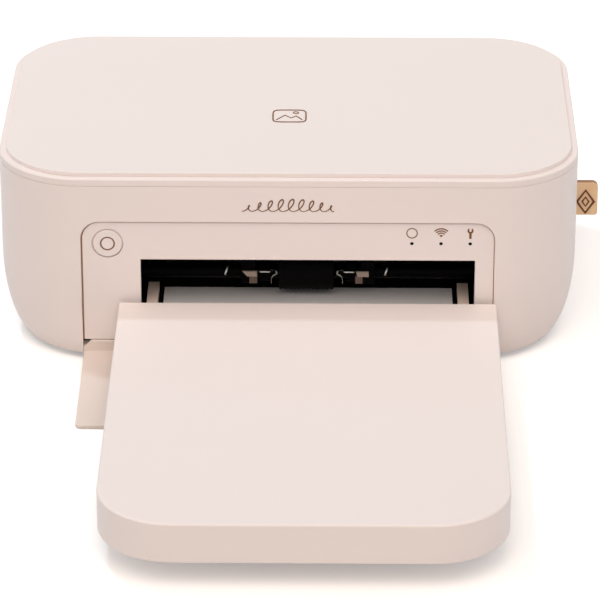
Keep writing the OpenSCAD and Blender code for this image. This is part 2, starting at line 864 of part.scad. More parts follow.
// frame in the rear wall round the slot, butted against the guide
module rear_bezel() {
    half = slot_w/2 - 0.4;
    z0 = path_z - gap;
    color(BLACK) {
        section(path_x - half, 2*half) polygon([
            [back_y - 6, z0 - 1.6], [back_y - 6, z0], [back_y - 2, z0], [back_y - 0.2, z0 - 1],
            [back_y - 0.2, z0 - 2]
        ]);
        block(path_x - half, path_x + half, back_y - 5, back_y - 0.2, rear_slot_z + rear_slot_h - 1.3,
            rear_slot_z + rear_slot_h - 0.3);
        for (m = [0, 1]) translate([path_x, 0, 0]) mirror([m, 0, 0])
            block(half - 1.2, half, back_y - 5, back_y - 0.2, z0 - 1, rear_slot_z + rear_slot_h - 0.3);
    }
}

// --- rollers ---

module pickup_shaft() {
    color(STEEL) bar_x(gear_x - 0.4, right_out + 0.4 - gear_x + 0.4, shaft_r, pickup_y, pickup_z);
}

module pickup_roller() {
    color(RUBBER) section(path_x - 10.3, 20.6) translate([pickup_y, pickup_z]) difference() {
        circle(pickup_r);
        circle(shaft_r);
    }
}

module pickup_collars() {
    color("#E8E6E2") for (m = [0, 1]) translate([path_x, 0, 0]) mirror([m, 0, 0])
        section(13.6, 3.5) translate([pickup_y, pickup_z]) difference() {
            circle(3.7);
            circle(shaft_r);
        }
}

module pickup_gear() {
    color(GEAR) gear(pickup_teeth, pickup_phase, shaft_r, pickup_y, pickup_z);
}

module idler_gear() {
    color(GEAR) gear(idler_teeth, idler_phase, stud_r + run_gap, idler_y, idler_z);
}

// rubber-coated roller with its shaft
module feed_roller() {
    color("#5B5A5C") {
        bar_x(left_in + 1, 2*frame_half - 2, feed_r, feed_y, feed_z);
        bar_x(gear_x - 0.4, right_out + 0.8 - gear_x, shaft_r, feed_y, feed_z);
    }
}

module feed_gear() {
    color(GEAR) gear(feed_teeth, feed_phase, shaft_r, feed_y, feed_z);
}

module pinch_roller() {
    color(RUBBER) {
        bar_x(left_in + 4, 2*frame_half - 8, pinch_r, feed_y, pinch_z);
        bar_x(left_out, right_out - left_out, pinch_pin_r, feed_y, pinch_z);
    }
}

module platen_roller() {
    color(RUBBER) {
        bar_x(path_x - paper_w/2 - 4, paper_w + 8, platen_r, platen_y, platen_z);
        bar_x(left_out - 0.6, right_out - left_out + 1.2, shaft_r, platen_y, platen_z);
    }
}

// --- print head ---

// aluminium block with cooling fins and the narrow glaze line underneath
module print_head() {
    half = paper_w/2 + 2;
    color(STEEL) section(path_x - half, 2*half) union() {
        difference() {
            translate([platen_y - head_d/2, head_z + 0.4]) square([head_d, head_h - 0.4]);
            for (i = [-1 : 1]) translate([platen_y + i*3.2 - 0.8, head_z + 4.4]) square([1.6, head_h]);
        }
        translate([platen_y - 2, head_z]) square([4, 0.8]);
    }
}

// sheet-metal arm: two cheeks joined by the pivot tube
module head_arm() {
    cheek = left_in + 0.65;
    span = 2*(path_x - cheek);
    head_half = paper_w/2 + 2;
    link = path_x - head_half - cheek - cheek_t;
    color(STEEL) {
        for (x = [cheek, cheek + span - cheek_t])
            section(x, cheek_t) difference() {
                union() {
                    translate([platen_y - head_d/2, head_z + 0.4])
                        square([pivot_y - platen_y + head_d/2, head_h - 0.4]);
                    translate([pivot_y, pivot_z]) circle(4);
                }
                translate([pivot_y, pivot_z]) circle(pivot_r + run_gap);
            }
        for (m = [0, 1]) translate([path_x, 0, 0]) mirror([m, 0, 0])
            block(head_half, head_half + link + eps, platen_y - head_d/2, platen_y + head_d/2, head_z + 1,
                head_z + 4);
        section(cheek, span) translate([pivot_y, pivot_z]) difference() {
            circle(3.4);
            circle(pivot_r + run_gap);
        }
    }
}

module head_pivot() {
    color(STEEL) bar_x(left_out, right_out - left_out, pivot_r, pivot_y, pivot_z);
}

// --- drive, outside the left frame ---

module gear_plate() {
    plate_y0 = pickup_y - 6;
    plate_y1 = takeup_y + 17;
    color(STEEL) {
        section(gear_plate_x - gear_plate_t, gear_plate_t) difference() {
            translate([plate_y0, pickup_z - 12]) square([plate_y1 - plate_y0, frame_top - pickup_z + 12]);
            translate([pickup_y, pickup_z]) circle(shaft_r + 1);
            translate([feed_y, feed_z]) circle(shaft_r + 1);
            translate([motor_y, motor_z]) circle(3.2);
            translate([winder_y, winder_z]) circle(3.2);
        }
        bar_x(gear_plate_x - eps, left_out - gear_plate_x + eps, stud_r, idler_y, idler_z);
        for (p = [[plate_y0 + 3, frame_top - 14], [plate_y1 - 3, frame_top - 3], [plate_y1 - 3, pickup_z - 8],
                  [plate_y0 + 3, pickup_z - 9.4]])
            bar_x(gear_plate_x - eps, left_out - gear_plate_x + eps, 2, p[0], p[1]);
    }
}

module motor(y, z) {
    x1 = gear_plate_x - gear_plate_t;
    color(STEEL) difference() {
        union() {
            bar_x(x1 - motor_l, motor_l, motor_r, y, z);
            bar_x(x1 - eps, gear_plate_t + 0.3, 3, y, z);
        }
        bar_x(x1 - 8, 10, motor_shaft_r + run_gap, y, z);
    }
}

// gear on the motor's shaft
module pinion(turn, y, z) {
    x1 = gear_plate_x - gear_plate_t;
    color(GEAR) {
        gear(pinion_teeth, turn, motor_shaft_r - eps, y, z);
        bar_x(x1 - 7.8, left_out - 0.6 - x1 + 7.8, motor_shaft_r, y, z);
    }
}

module feed_motor() {
    motor(motor_y, motor_z);
}

module ribbon_motor() {
    motor(winder_y, winder_z);
}

module feed_pinion() {
    pinion(motor_phase, motor_y, motor_z);
}

module ribbon_pinion() {
    pinion(winder_phase, winder_y, winder_z);
}

// --- ribbon ---

// two open tubes joined by a cap at each end
module ribbon_cartridge() {
    color("#D9D9D6") {
        for (s = [[supply_y, 1], [takeup_y, -1]])
            section(cart_left, cart_right - cart_left) translate([s[0], spool_z]) difference() {
                circle(spool_r);
                circle(spool_r - 0.9);
                rotate([0, 0, s[1] > 0 ? -75 : -150]) square([2*spool_r, 3.6]);
            }
        for (x = [cart_left, cart_right - cap_t])
            section(x, cap_t) difference() {
                union() {
                    for (y = [supply_y, takeup_y]) translate([y, spool_z]) circle(spool_r);
                    translate([supply_y, spool_z - 4]) square([spool_gap, 9]);
                }
                for (y = [supply_y, takeup_y]) translate([y, spool_z]) circle(journal_r + run_gap);
            }
    }
}

module spool(y, r, x0) {
    bar_x(x0, cart_right - x0, journal_r, y, spool_z);
    bar_x(cart_left + cap_t + 0.4, 3, spool_r - 1.3, y, spool_z);
    bar_x(cart_right - cap_t - 3.4, 3, spool_r - 1.3, y, spool_z);
    bar_x(path_x - film_half, 2*film_half, r, y, spool_z);
}

module supply_spool() {
    color("#34322F") spool(supply_y, supply_r, cart_left);
}

module takeup_spool() {
    color("#34322F") spool(takeup_y, takeup_r, cart_left);
}

// gear with the hub that reaches through the frame to the take-up spool
module takeup_gear() {
    color(GEAR) {
        gear(takeup_teeth, takeup_phase, journal_r - eps, takeup_y, spool_z);
        bar_x(gear_x, cart_left - gear_x, journal_r, takeup_y, spool_z);
    }
}

// film from the supply spool, under the head, to the take-up spool
module ribbon_film() {
    z0 = head_z - film_t - 0.1;
    z1 = spool_z - spool_r - 0.3;
    color("#3A3530") section(path_x - film_half, 2*film_half) for (m = [0, 1]) translate([platen_y, 0])
        mirror([m, 0]) polygon([
            [0, z0], [head_d/2 + 1, z0], [spool_gap/2 - 3.6, z1], [spool_gap/2 - 4, z1 + film_t],
            [head_d/2 + 0.8, z0 + film_t], [0, z0 + film_t]
        ]);
}

// --- electronics ---

module main_board() {
    color(BOARD) block(board_edge - board_w, board_edge, front_y + 28, back_y - wall - 2.8, io_z - board_t,
        io_z);
}

module board_parts() {
    color(BLACK) translate([board_edge, 0, io_z]) {
        block(-16.5, -4.5, -20, -8, 0, 1.6);
        block(-18.5, -10.5, 4, 12, 0, 1.2);
        for (y = [22 : 9 : 40]) translate([-13.5, y, 0]) cylinder(h = 9, r = 3.2);
        block(-19.5, -14.5, -36, -24, 0, 5);
        for (y = [16 : 6 : 40]) block(-5.5, -1.9, y, y + 2, 0, 1);
    }
}

// round socket: a square block with a ring-shaped well and a centre pin
module dc_jack() {
    y0 = back_y - 13;
    color(BLACK) {
        difference() {
            union() {
                block(jack_x - 5, jack_x + 5, y0, back_y - wall - 0.6, io_z, io_z + 10.4);
                bar_y(y0, back_y - 0.8 - y0, 4.9, jack_x, io_z + 5.4);
            }
            bar_y(y0 + 3, 20, 3.3, jack_x, io_z + 5.4);
        }
        bar_y(y0 + 3 - eps, 7.5, 0.8, jack_x, io_z + 5.4);
    }
}

module usb_socket() {
    y0 = back_y - 13;
    color(STEEL) {
        difference() {
            block(usb_x - 6.6, usb_x + 6.6, y0, back_y - 0.8, io_z, io_z + 7);
            block(usb_x - 6.2, usb_x + 6.2, y0 + 0.6, back_y, io_z + 0.4, io_z + 6.6);
        }
        block(usb_x - 5.6, usb_x + 5.6, y0 + 0.5, back_y - 3, io_z + 3.6, io_z + 5.6);
    }
}

// --- paper cassette ---

module bed_plan() {
    x0 = path_x - bed_half;
    w = 2*bed_half;
    translate([x0, bed_front + bed_r]) square([w, tray_back - bed_front - bed_r]);
    translate([x0 + bed_r, bed_front]) square([w - 2*bed_r, bed_r + eps]);
    for (s = [-1, 1]) translate([path_x + s*(bed_half - bed_r), bed_front + bed_r]) circle(bed_r);
}

// floor, low walls, and the part with two arms that enters the slot and carries it above the table
module cassette_base() {
    wall_top = lid_under - gap;
    color(PANEL) {
        difference() {
            translate([0, 0, floor_z]) linear_extrude(wall_top - floor_z) bed_plan();
            translate([0, 0, floor_top]) linear_extrude(tray_h) intersection() {
                bed_plan();
                union() {
                    translate([path_x - bed_half + bed_wall, bed_front + bed_r])
                        square([2*(bed_half - bed_wall), tray_l]);
                    translate([path_x - bed_half + bed_r, bed_front + bed_wall])
                        square([2*(bed_half - bed_r), bed_r]);
                    for (s = [-1, 1]) translate([path_x + s*(bed_half - bed_r), bed_front + bed_r])
                        circle(bed_r - bed_wall);
                }
            }
            block(path_x - tray_half, path_x + tray_half, lid_pin_y, tray_back + over, lid_pin_z, tray_top);
            block(path_x - tray_half, path_x + tray_half, lid_pin_y + lid_knuckle_r, tray_back + over,
                stack_top - eps, tray_top);
        }
        block(path_x - insert_half, path_x + insert_half, tray_back - 2, insert_back, floor_z, floor_top);
        block(path_x - insert_half, path_x + insert_half, insert_back - 1.4, insert_back, floor_z,
            floor_z + 5);
        for (m = [0, 1]) translate([path_x, 0, 0]) mirror([m, 0, 0]) {
            cassette_arm();
            bar_x(bed_half - bed_wall, bed_wall, lid_knuckle_r, lid_pin_y, lid_pin_z);
            bar_x(bed_half - eps, lid_pin_l, lid_pin_r, lid_pin_y, lid_pin_z);
            lift_ear();
        }
    }
}

// ear with the bore that the lift plate's wire turns in
module lift_ear() {
    section(insert_half - arm_t + gap, 2) difference() {
        translate([lift_hinge_y - 2, floor_top - eps]) square([4, 3.2]);
        translate([lift_hinge_y, plate_z + lift_t/2]) circle(lift_rod_r + run_gap);
    }
}

module cassette_arm() {
    section(insert_half - arm_t, arm_t) difference() {
        union() {
            translate([tray_back - 2, floor_z]) square([insert_back - tray_back + 2, 4]);
            translate([arm_front, floor_z]) square([arm_back - arm_front - 6, arm_top - floor_z]);
            translate([arm_back - 6.1, floor_z]) square([6.1, arm_top - floor_z - 6]);
            translate([arm_back - 6, arm_top - 6]) circle(6);
        }
    }
}

// hood over the cassette, with a flat top and two large front corners
module cassette_lid() {
    length = tray_l + 2*tray_r;
    middle = tray_front + length/2;
    color(SHELL) difference() {
        translate([path_x, middle, tray_low]) slab(tray_w, length, tray_r, tray_h, 0.8);
        translate([path_x, middle + tray_wall/2, tray_low - over])
            linear_extrude(tray_h - tray_wall + over)
                plan(tray_w - 2*tray_wall, length - tray_wall, tray_r - tray_wall);
        block(path_x - tray_w, path_x + tray_w, tray_back, tray_back + 3*tray_r, -over, tray_top + over);
        for (m = [0, 1]) translate([path_x, 0, 0]) mirror([m, 0, 0])
            block(bed_half - bed_wall - gap, tray_half - tray_wall, lid_pin_y - 2.4, tray_back + over,
                lid_under - over, lid_under + 1);
        bar_x(path_x - bed_half - lid_pin_l - 0.1, 2*(bed_half + lid_pin_l + 0.1), lid_pin_r + run_gap,
            lid_pin_y, lid_pin_z);
    }
}

// black strips that keep the paper square
module paper_guides() {
    color(BLACK) for (m = [0, 1]) translate([path_x, 0, 0]) mirror([m, 0, 0])
        block(insert_half - arm_t - guide_t, insert_half - arm_t, lift_hinge_y + 6, lead_y + 1, floor_top,
            stack_top + gap);
}

module separator_pad() {
    color("#6F6C6B") block(path_x - 20, path_x + 20, lead_y - eps + 0.6, insert_back - 1.4, floor_top,
        floor_z + 4.4);
}

// sheet that tilts up about a wire at its front end to press the paper against the pickup roller
module lift_plate() {
    color(STEEL) {
        block(path_x - lift_half, path_x + lift_half, lift_hinge_y, lead_y - 2, plate_z, plate_z + lift_t);
        bar_x(path_x - insert_half + arm_t - 2, 2*(insert_half - arm_t + 2), lift_rod_r, lift_hinge_y,
            plate_z + lift_t/2);
    }
}

module paper_stack() {
    color("#F4F4F2") block(path_x - paper_w/2, path_x + paper_w/2, lead_y - paper_l, lead_y, stack_z,
        stack_top);
}

body_shell();
base_pan();
feet();
base_screws();
top_cover();
top_plate();
front_panel();
front_door();
power_button();
tact_switch();
button_board();
led_pipes();
status_board();
ribbon_door();
ribbon_door_pin();
pull_tab();
rear_guide();
rear_bezel();
dc_jack();
usb_socket();
main_board();
board_parts();
left_frame();
right_frame();
cross_brace();
lower_guide();
upper_guide();
shaft_hangers();
pickup_shaft();
pickup_roller();
pickup_collars();
pickup_gear();
idler_gear();
feed_roller();
feed_gear();
pinch_roller();
platen_roller();
print_head();
head_arm();
head_pivot();
gear_plate();
feed_motor();
feed_pinion();
ribbon_motor();
ribbon_pinion();
ribbon_cartridge();
supply_spool();
takeup_spool();
takeup_gear();
ribbon_film();
cassette_base();
cassette_lid();
paper_guides();
separator_pad();
lift_plate();
paper_stack();
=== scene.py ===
import math

import bmesh
import bpy
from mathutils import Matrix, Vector


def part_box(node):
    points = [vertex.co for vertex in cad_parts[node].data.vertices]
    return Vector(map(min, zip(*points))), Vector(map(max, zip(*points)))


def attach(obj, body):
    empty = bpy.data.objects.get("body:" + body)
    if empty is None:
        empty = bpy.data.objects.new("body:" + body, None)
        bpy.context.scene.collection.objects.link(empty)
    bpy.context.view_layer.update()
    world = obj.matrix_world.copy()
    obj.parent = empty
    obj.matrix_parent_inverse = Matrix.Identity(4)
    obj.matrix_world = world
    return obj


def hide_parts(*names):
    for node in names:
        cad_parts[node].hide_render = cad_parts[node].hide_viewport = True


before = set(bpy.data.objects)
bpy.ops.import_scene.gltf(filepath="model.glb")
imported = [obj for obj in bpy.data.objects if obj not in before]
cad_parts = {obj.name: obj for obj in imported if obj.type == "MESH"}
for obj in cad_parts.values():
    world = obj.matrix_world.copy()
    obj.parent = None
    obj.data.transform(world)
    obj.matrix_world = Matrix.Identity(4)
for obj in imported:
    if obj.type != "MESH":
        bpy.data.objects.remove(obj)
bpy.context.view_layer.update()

# --- Housing shell -----------------------------------------------------------------------------
# The four-sided lower moulding of the housing, injection moulded in warm white ABS with a fine
# spark-eroded surface. Its front and back stand straight, its sides tuck in towards the feet, and
# it is screwed to the base pan from below.

MM = 0.001
corner = 30
shell_wall = 2.2
# Each side moves in by the tuck on an arc, over a height, from upright to an angle at its foot.
tuck, tuck_height, tuck_end = 7.2, 29, 70


def mm_box(node):
    low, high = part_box(node)
    return Vector(low) / MM, Vector(high) / MM


def take(piece=None):
    """Leaves only this piece selected and active, in object mode."""
    if bpy.context.object and bpy.context.object.mode != "OBJECT":
        bpy.ops.object.mode_set(mode="OBJECT")
    bpy.ops.object.select_all(action="DESELECT")
    if piece:
        piece.select_set(True)
        bpy.context.view_layer.objects.active = piece


def settle(name):
    """Puts the new primitive's place into its mesh, and names it."""
    piece = bpy.context.object
    bpy.ops.object.transform_apply(location=True, rotation=True, scale=True)
    piece.name = piece.data.name = name
    return piece


def block(name, low, high):
    take()
    low, high = Vector(low) * MM, Vector(high) * MM
    bpy.ops.mesh.primitive_cube_add(size=1, location=(low + high) / 2, scale=high - low)
    return settle(name)


def pick(piece, kind, test=None):
    """Selects the parts whose corners, in millimetres, pass the test, and stays in edit mode."""
    take(piece)
    bpy.ops.object.mode_set(mode="EDIT")
    bpy.ops.mesh.select_mode(type=kind)
    bpy.ops.mesh.select_all(action="DESELECT")
    mesh = bmesh.from_edit_mesh(piece.data)
    for part in {"VERT": mesh.verts, "EDGE": mesh.edges, "FACE": mesh.faces}[kind]:
        corners = [part.co / MM] if kind == "VERT" else [corner.co / MM for corner in part.verts]
        if test is None or test(*corners):
            part.select_set(True)
    mesh.select_flush_mode()
    bmesh.update_edit_mesh(piece.data)


def near(a, b, slack=0.02):
    return abs(a - b) < slack


def along(axis):
    """A test for the edges that run along one axis."""
    return lambda a, b: all(near(a[i], b[i]) for i in range(3) if i != axis)


def at(axis, place):
    """A test for the parts whose corners all lie at one place on an axis."""
    return lambda *corners: all(near(corner[axis], place) for corner in corners)


def both(*tests):
    return lambda *corners: all(test(*corners) for test in tests)


def round_off(width, steps=2):
    """Bevels the selected edges and leaves edit mode."""
    bpy.ops.mesh.bevel(offset=width * MM, offset_type="OFFSET", segments=steps, profile=0.5)
    bpy.ops.object.mode_set(mode="OBJECT")


def slice_at(piece, axis, *places):
    """Cuts all faces across an axis, in millimetres."""
    for place in places:
        plane = Vector([place * MM if i == axis else 0 for i in range(3)])
        pick(piece, "FACE")
        bpy.ops.mesh.bisect(plane_co=plane, plane_no=[float(i == axis) for i in range(3)])
    bpy.ops.object.mode_set(mode="OBJECT")


def change(piece, kind, **settings):
    """Adds a modifier and applies it."""
    step = piece.modifiers.new(kind.lower(), kind)
    for name, value in settings.items():
        setattr(step, name, value)
    take(piece)
    bpy.ops.object.modifier_apply(modifier=step.name)


shell_low, shell_high = mm_box("body_shell")
side, front, back, seam_z = shell_high.x, shell_low.y, shell_high.y, shell_high.z
shell = block("housing_shell", shell_low, shell_high)
pick(shell, "EDGE", along(2))
round_off(corner, 28)
levels = []
foot_angle = math.radians(tuck_end)
for degrees in range(0, tuck_end + 1, 5):
    angle = math.radians(degrees)
    drop = tuck_height * math.sin(angle) / math.sin(foot_angle)
    inset = tuck * (1 - math.cos(angle)) / (1 - math.cos(foot_angle))
    levels.append((shell_low.z + tuck_height - drop, inset))
slice_at(shell, 2, *[height for height, inset in levels[:-1]])
for height, inset in levels:
    for hand in (-1, 1):
        pick(shell, "VERT", lambda p: near(p.z, height) and p.x * hand > side - corner - 0.01)
        bpy.ops.transform.translate(value=(-hand * inset * MM, 0, 0))
for end in (shell_low.z, seam_z):
    pick(shell, "FACE", at(2, end))
    bpy.ops.mesh.delete(type="FACE")
change(shell, "SOLIDIFY", thickness=shell_wall * MM, offset=-1, use_even_offset=True)


def rod(name, start, end, radius, sides=64):
    """A round bar between two points."""
    take()
    start, end = Vector(start) * MM, Vector(end) * MM
    bpy.ops.mesh.primitive_cylinder_add(
        vertices=sides,
        radius=radius * MM,
        depth=(end - start).length,
        location=(start + end) / 2,
        rotation=(end - start).to_track_quat("Z", "Y").to_euler(),
    )
    return settle(name)


def cut(piece, *tools):
    for tool in tools:
        change(piece, "BOOLEAN", operation="DIFFERENCE", solver="EXACT", object=tool)
        bpy.data.objects.remove(tool)


def weld(piece, *others):
    for other in others:
        change(piece, "BOOLEAN", operation="UNION", solver="EXACT", object=other)
        bpy.data.objects.remove(other)


# The opening in front that the panel sits in, with its two round upper corners.
recess_half, recess_top, recess_round = 72.15, 53.4, 6.6
opening = block("opening", (-recess_half, front - 3, -5), (recess_half, front + 3.2, recess_top))
pick(opening, "EDGE", both(along(1), at(2, recess_top)))
round_off(recess_round, 12)
# The window for the ribbon on the right, and the openings in the back: the paper's, the two sockets'
# and a row of upright vents with round ends.
path_x, slot_half = 7, 58.45
window_y, window_z = (-30, 33.3), (33, 63)
window_x = (side - 3 * shell_wall, side + 2)
side_window = block("side_window", *zip(window_x, window_y, window_z))
inside_back, behind = back - 6, back + 4
rear_slot = block("rear_slot", (path_x - slot_half, inside_back, 30), (path_x + slot_half, behind, 38))
usb_hole = block("usb_hole", (-48, inside_back, 11.6), (-34, behind, 19.4))
jack_x, jack_z, jack_radius = -67, 17.4, 5.2
jack_hole = rod("jack_hole", (jack_x, inside_back, jack_z), (jack_x, behind, jack_z), jack_radius)
cut(shell, opening, side_window, rear_slot, usb_hole, jack_hole)
vents, vent_pitch, vent_half, vent_low, vent_high = 15, 6, 1.2, 45, 57
for number in range(vents):
    x = path_x + (number - vents // 2) * vent_pitch
    vent = block("vent", (x - vent_half, inside_back, vent_low), (x + vent_half, behind, vent_high))
    pick(vent, "EDGE", along(1))
    round_off(vent_half - 0.01, 6)
    cut(shell, vent)

# Four bosses take the base screws, each stiffened by a web that leans out to the side wall.
screw_x, screw_y, screw_radius, screw_end = 83, 38, 1.15, 14.6
boss_low, boss_high, boss_radius = 4.8, 21.8, 3.4
web_x, web_high, web_half, web_lean = 95.3, 21, 0.9, 5
for hand in (-1, 1):
    x, wall_x = hand * screw_x, hand * web_x
    for y in (-screw_y, screw_y):
        boss = rod("boss", (x, y, boss_low), (x, y, boss_high), boss_radius, 32)
        ends = sorted((x, wall_x))
        web = block("web", (ends[0], y - web_half, boss_low), (ends[1], y + web_half, web_high))
        pick(web, "VERT", lambda p: near(p.x, wall_x) and near(p.z, web_high))
        bpy.ops.transform.translate(value=(hand * web_lean * MM, 0, 0))
        weld(boss, web)
        cut(boss, rod("screw_hole", (x, y, 0), (x, y, screw_end), screw_radius, 24))
        weld(shell, boss)


def soften(piece, width, steps, where=None):
    """Rounds the sharp edges, those that turn by more than 50 degrees, that pass the test."""
    pick(piece, "EDGE", lambda *corners: False)
    mesh = bmesh.from_edit_mesh(piece.data)
    for edge in mesh.edges:
        if len(edge.link_faces) == 2 and edge.calc_face_angle() > math.radians(50):
            if where is None or where(*[corner.co / MM for corner in edge.verts]):
                edge.select_set(True)
    bmesh.update_edit_mesh(piece.data)
    round_off(width, steps)


def on_recess(*corners):
    """The front edge of the panel's opening."""
    for p in corners:
        from_round = Vector((abs(p.x) - recess_half + recess_round, p.z - recess_top + recess_round))
        on_arc = min(from_round) > -0.1 and near(from_round.length, recess_round, 0.05)
        if p.y > front + 0.05 or not (near(abs(p.x), recess_half) or near(p.z, recess_top) or on_arc):
            return False
    return True


def on_seam(*corners):
    """The outer upper edge, against the cover."""
    return all(p.z > seam_z - 0.05 and not inside_wall(p) for p in corners)


def inside_wall(p):
    x, y = max(abs(p.x) - side + corner, 0), max(abs(p.y) - back + corner, 0)
    return math.hypot(x, y) < corner - 0.1


def on_window(*corners):
    """The outer edge of the ribbon's window."""
    for p in corners:
        past_end = p.y < window_y[0] - 0.1 or p.y > window_y[1] + 0.1
        if p.x < side - 0.1 or past_end or p.z < window_z[0] - 0.1 or p.z > window_z[1] + 0.1:
            return False
    return True


soften(shell, 0.5, 3, on_recess)
soften(shell, 0.3, 2, on_window)
soften(shell, 0.3, 2, on_seam)


def linear(code):
    """An sRGB hex value as linear red, green, blue and full alpha."""
    parts = [int(code[i : i + 2], 16) / 255 for i in (1, 3, 5)]
    return [c / 12.92 if c < 0.04045 else ((c + 0.055) / 1.055) ** 2.4 for c in parts] + [1]


def node(material, kind, settings=(), **inputs):
    """Adds a node with its settings and links. An input is named with underscores, or numbered as _0, and
    takes a value, an output, or another node for its first output."""
    new = material.node_tree.nodes.new(kind)
    for name, value in dict(settings).items():
        setattr(new, name, value)
    for name, value in inputs.items():
        slot = new.inputs[int(name[1:])] if name[1:].isdigit() else new.inputs[name.replace("_", " ")]
        if isinstance(value, bpy.types.Node):
            value = value.outputs[0]
        if isinstance(value, bpy.types.NodeSocket):
            material.node_tree.links.new(value, slot)
        else:
            slot.default_value = value
    return new


def new_finish(name, **shader_settings):
    """An empty material with its shader, and the object's own coordinates in metres."""
    material = bpy.data.materials.new(name)
    material.use_nodes = True
    material.node_tree.nodes.clear()
    shader = node(material, "ShaderNodeBsdfPrincipled", **shader_settings)
    node(material, "ShaderNodeOutputMaterial", Surface=shader.outputs[0])
    return material, shader, node(material, "ShaderNodeTexCoord").outputs["Object"]


def surface(material, shader, tone, codes, wear, roughness, bumps=None, strength=0.0, depth=0.0):
    """Joins a finish up: one pattern mixes two colours, one sets the roughness between two values, and one
    may raise bumps of a depth in millimetres."""
    first, second = [linear(code) for code in codes]
    colour = node(material, "ShaderNodeMix", {"data_type": "RGBA"}, _0=tone, _6=first, _7=second)
    polish = node(material, "ShaderNodeMapRange", Value=wear, To_Min=roughness[0], To_Max=roughness[1])
    links = material.node_tree.links
    links.new(colour.outputs[2], shader.inputs["Base Color"])
    links.new(polish.outputs[0], shader.inputs["Roughness"])
    if bumps:
        relief = node(material, "ShaderNodeBump", Height=bumps, Strength=strength, Distance=depth * MM)
        links.new(relief.outputs[0], shader.inputs["Normal"])
    return material


def moulded_abs(name, code, code_2, grain=0.35, depth=0.012, roughness=0.5, gloss=0.5):
    # ABS from a spark-eroded mould: an even, very fine pebble that scatters the light and keeps a soft,
    # broad sheen. The grain is drawn at 0.35 mm, coarser than the real 0.05 mm, so that it shows.
    material, shader, place = new_finish(name, IOR=1.53, Specular_IOR_Level=gloss)
    pebble = node(material, "ShaderNodeTexNoise", Vector=place, Scale=1 / (grain * MM), Detail=2.0)
    cloud = node(material, "ShaderNodeTexNoise", Vector=place, Scale=1 / (60 * MM), Detail=3.0)
    polish = (roughness - 0.05, roughness + 0.05)
    return surface(material, shader, cloud, (code, code_2), pebble, polish, pebble, 0.35, depth)


def finish(piece, body, material, stands_for=()):
    """Shades the piece, gives it its materials, and hands it over to its body."""
    take(piece)
    bpy.ops.object.shade_smooth_by_angle(angle=math.radians(35))
    change(piece, "WEIGHTED_NORMAL", keep_sharp=True)
    piece.data.materials.clear()
    for one in material if isinstance(material, list) else [material]:
        piece.data.materials.append(one)
    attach(piece, body)
    if stands_for:
        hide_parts(*stands_for)
    take()


white_abs = moulded_abs("white_abs", "#F1E7E4", "#F3E9E6")
finish(shell, "housing", white_abs, ["body_shell"])

# --- Base pan, feet and screws -----------------------------------------------------------------
# The flat pan closes the housing from below. It is moulded in the same ABS, and carries four
# die-cut rubber feet in shallow pockets and four self-tapping screws.


def moulded_rubber(name, code, code_2):
    # EPDM rubber or foam: quite matt, with the faint mottle of mould talc.
    material, shader, place = new_finish(name, IOR=1.5, Specular_IOR_Level=0.05)
    talc = node(material, "ShaderNodeTexNoise", Vector=place, Scale=1 / (3 * MM), Detail=4.0)
    return surface(material, shader, talc, (code, code_2), talc, (0.6, 0.8), talc, 0.2, 0.03)


def worked_metal(name, code, code_2, roughness, stretch):
    # Bare or plated metal with fine marks that run round a turned bar or along a rolled sheet, so that
    # its highlight is drawn out.
    material, shader, place = new_finish(name, Metallic=1.0)
    drawn = node(material, "ShaderNodeMapping", Vector=place, Scale=stretch)
    marks = node(material, "ShaderNodeTexNoise", Vector=drawn, Scale=1 / (1.2 * MM), Detail=3.0)
    polish = (roughness, roughness + 0.12)
    return surface(material, shader, marks, (code, code_2), marks, polish, marks, 0.15, 0.01)


def dress(material, *nodes):
    """Gives CAD nodes their material."""
    for name in nodes:
        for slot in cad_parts[name].material_slots:
            slot.material = material


black_rubber = moulded_rubber("black_rubber", "#0B0A0B", "#131213")
turned_steel = worked_metal("turned_steel", "#9C9C9E", "#D5D5D3", 0.22, (3, 0.4, 0.4))
zinc_sheet = worked_metal("zinc_plated_sheet", "#B1B2B2", "#D5D5D3", 0.34, (0.5, 0.5, 1))
dress(white_abs, "base_pan")
dress(black_rubber, "feet")
dress(turned_steel, "base_screws")

# --- Engine: frames, guides and brace ----------------------------------------------------------
# Two side frames and the paper guides between them, moulded in black glass-filled plastic, tied
# by a folded strip of zinc-plated steel. Hangers under the roof carry the pickup shaft, which snaps
# into a pale acetal bearing clip on each.

black_plastic = moulded_abs("black_glass_filled", "#0C0B0C", "#131213", 0.6, 0.02, 0.5, 0.35)
# A darker, nearly sheenless copy of the black plastic for the parts seen in the slot: partly their own
# black, partly painted shade of the slot's inside.
black_plastic_and_shade = moulded_abs("black_glass_filled_and_shade", "#060506", "#0A090A", 0.6, 0.02, 0.75, 0.04)
clip_acetal = moulded_abs("bearing_acetal", "#C9B2A3", "#D3BEB0", 0.5, 0.006, 0.35)
# The same acetal painted darker, as painted shade, for the clip's stem under its bar.
shaded_acetal = moulded_abs("shaded_acetal", "#7C685E", "#8F7A6E", 0.5, 0.006, 0.3)
dress(black_plastic, "left_frame", "right_frame", "rear_guide", "rear_bezel")
dress(black_plastic_and_shade, "lower_guide", "upper_guide", "shaft_hangers")
dress(zinc_sheet, "cross_brace")

shaft_y, shaft_z = -47, 26.1
clip_front, clip_low, clip_high, clip_thick = shaft_y - 5.1, 26.0, 28.15, 0.8
stem_front, stem_low, stem_high, stem_thick = clip_front + 0.3, 23.3, 26.1, 1.3
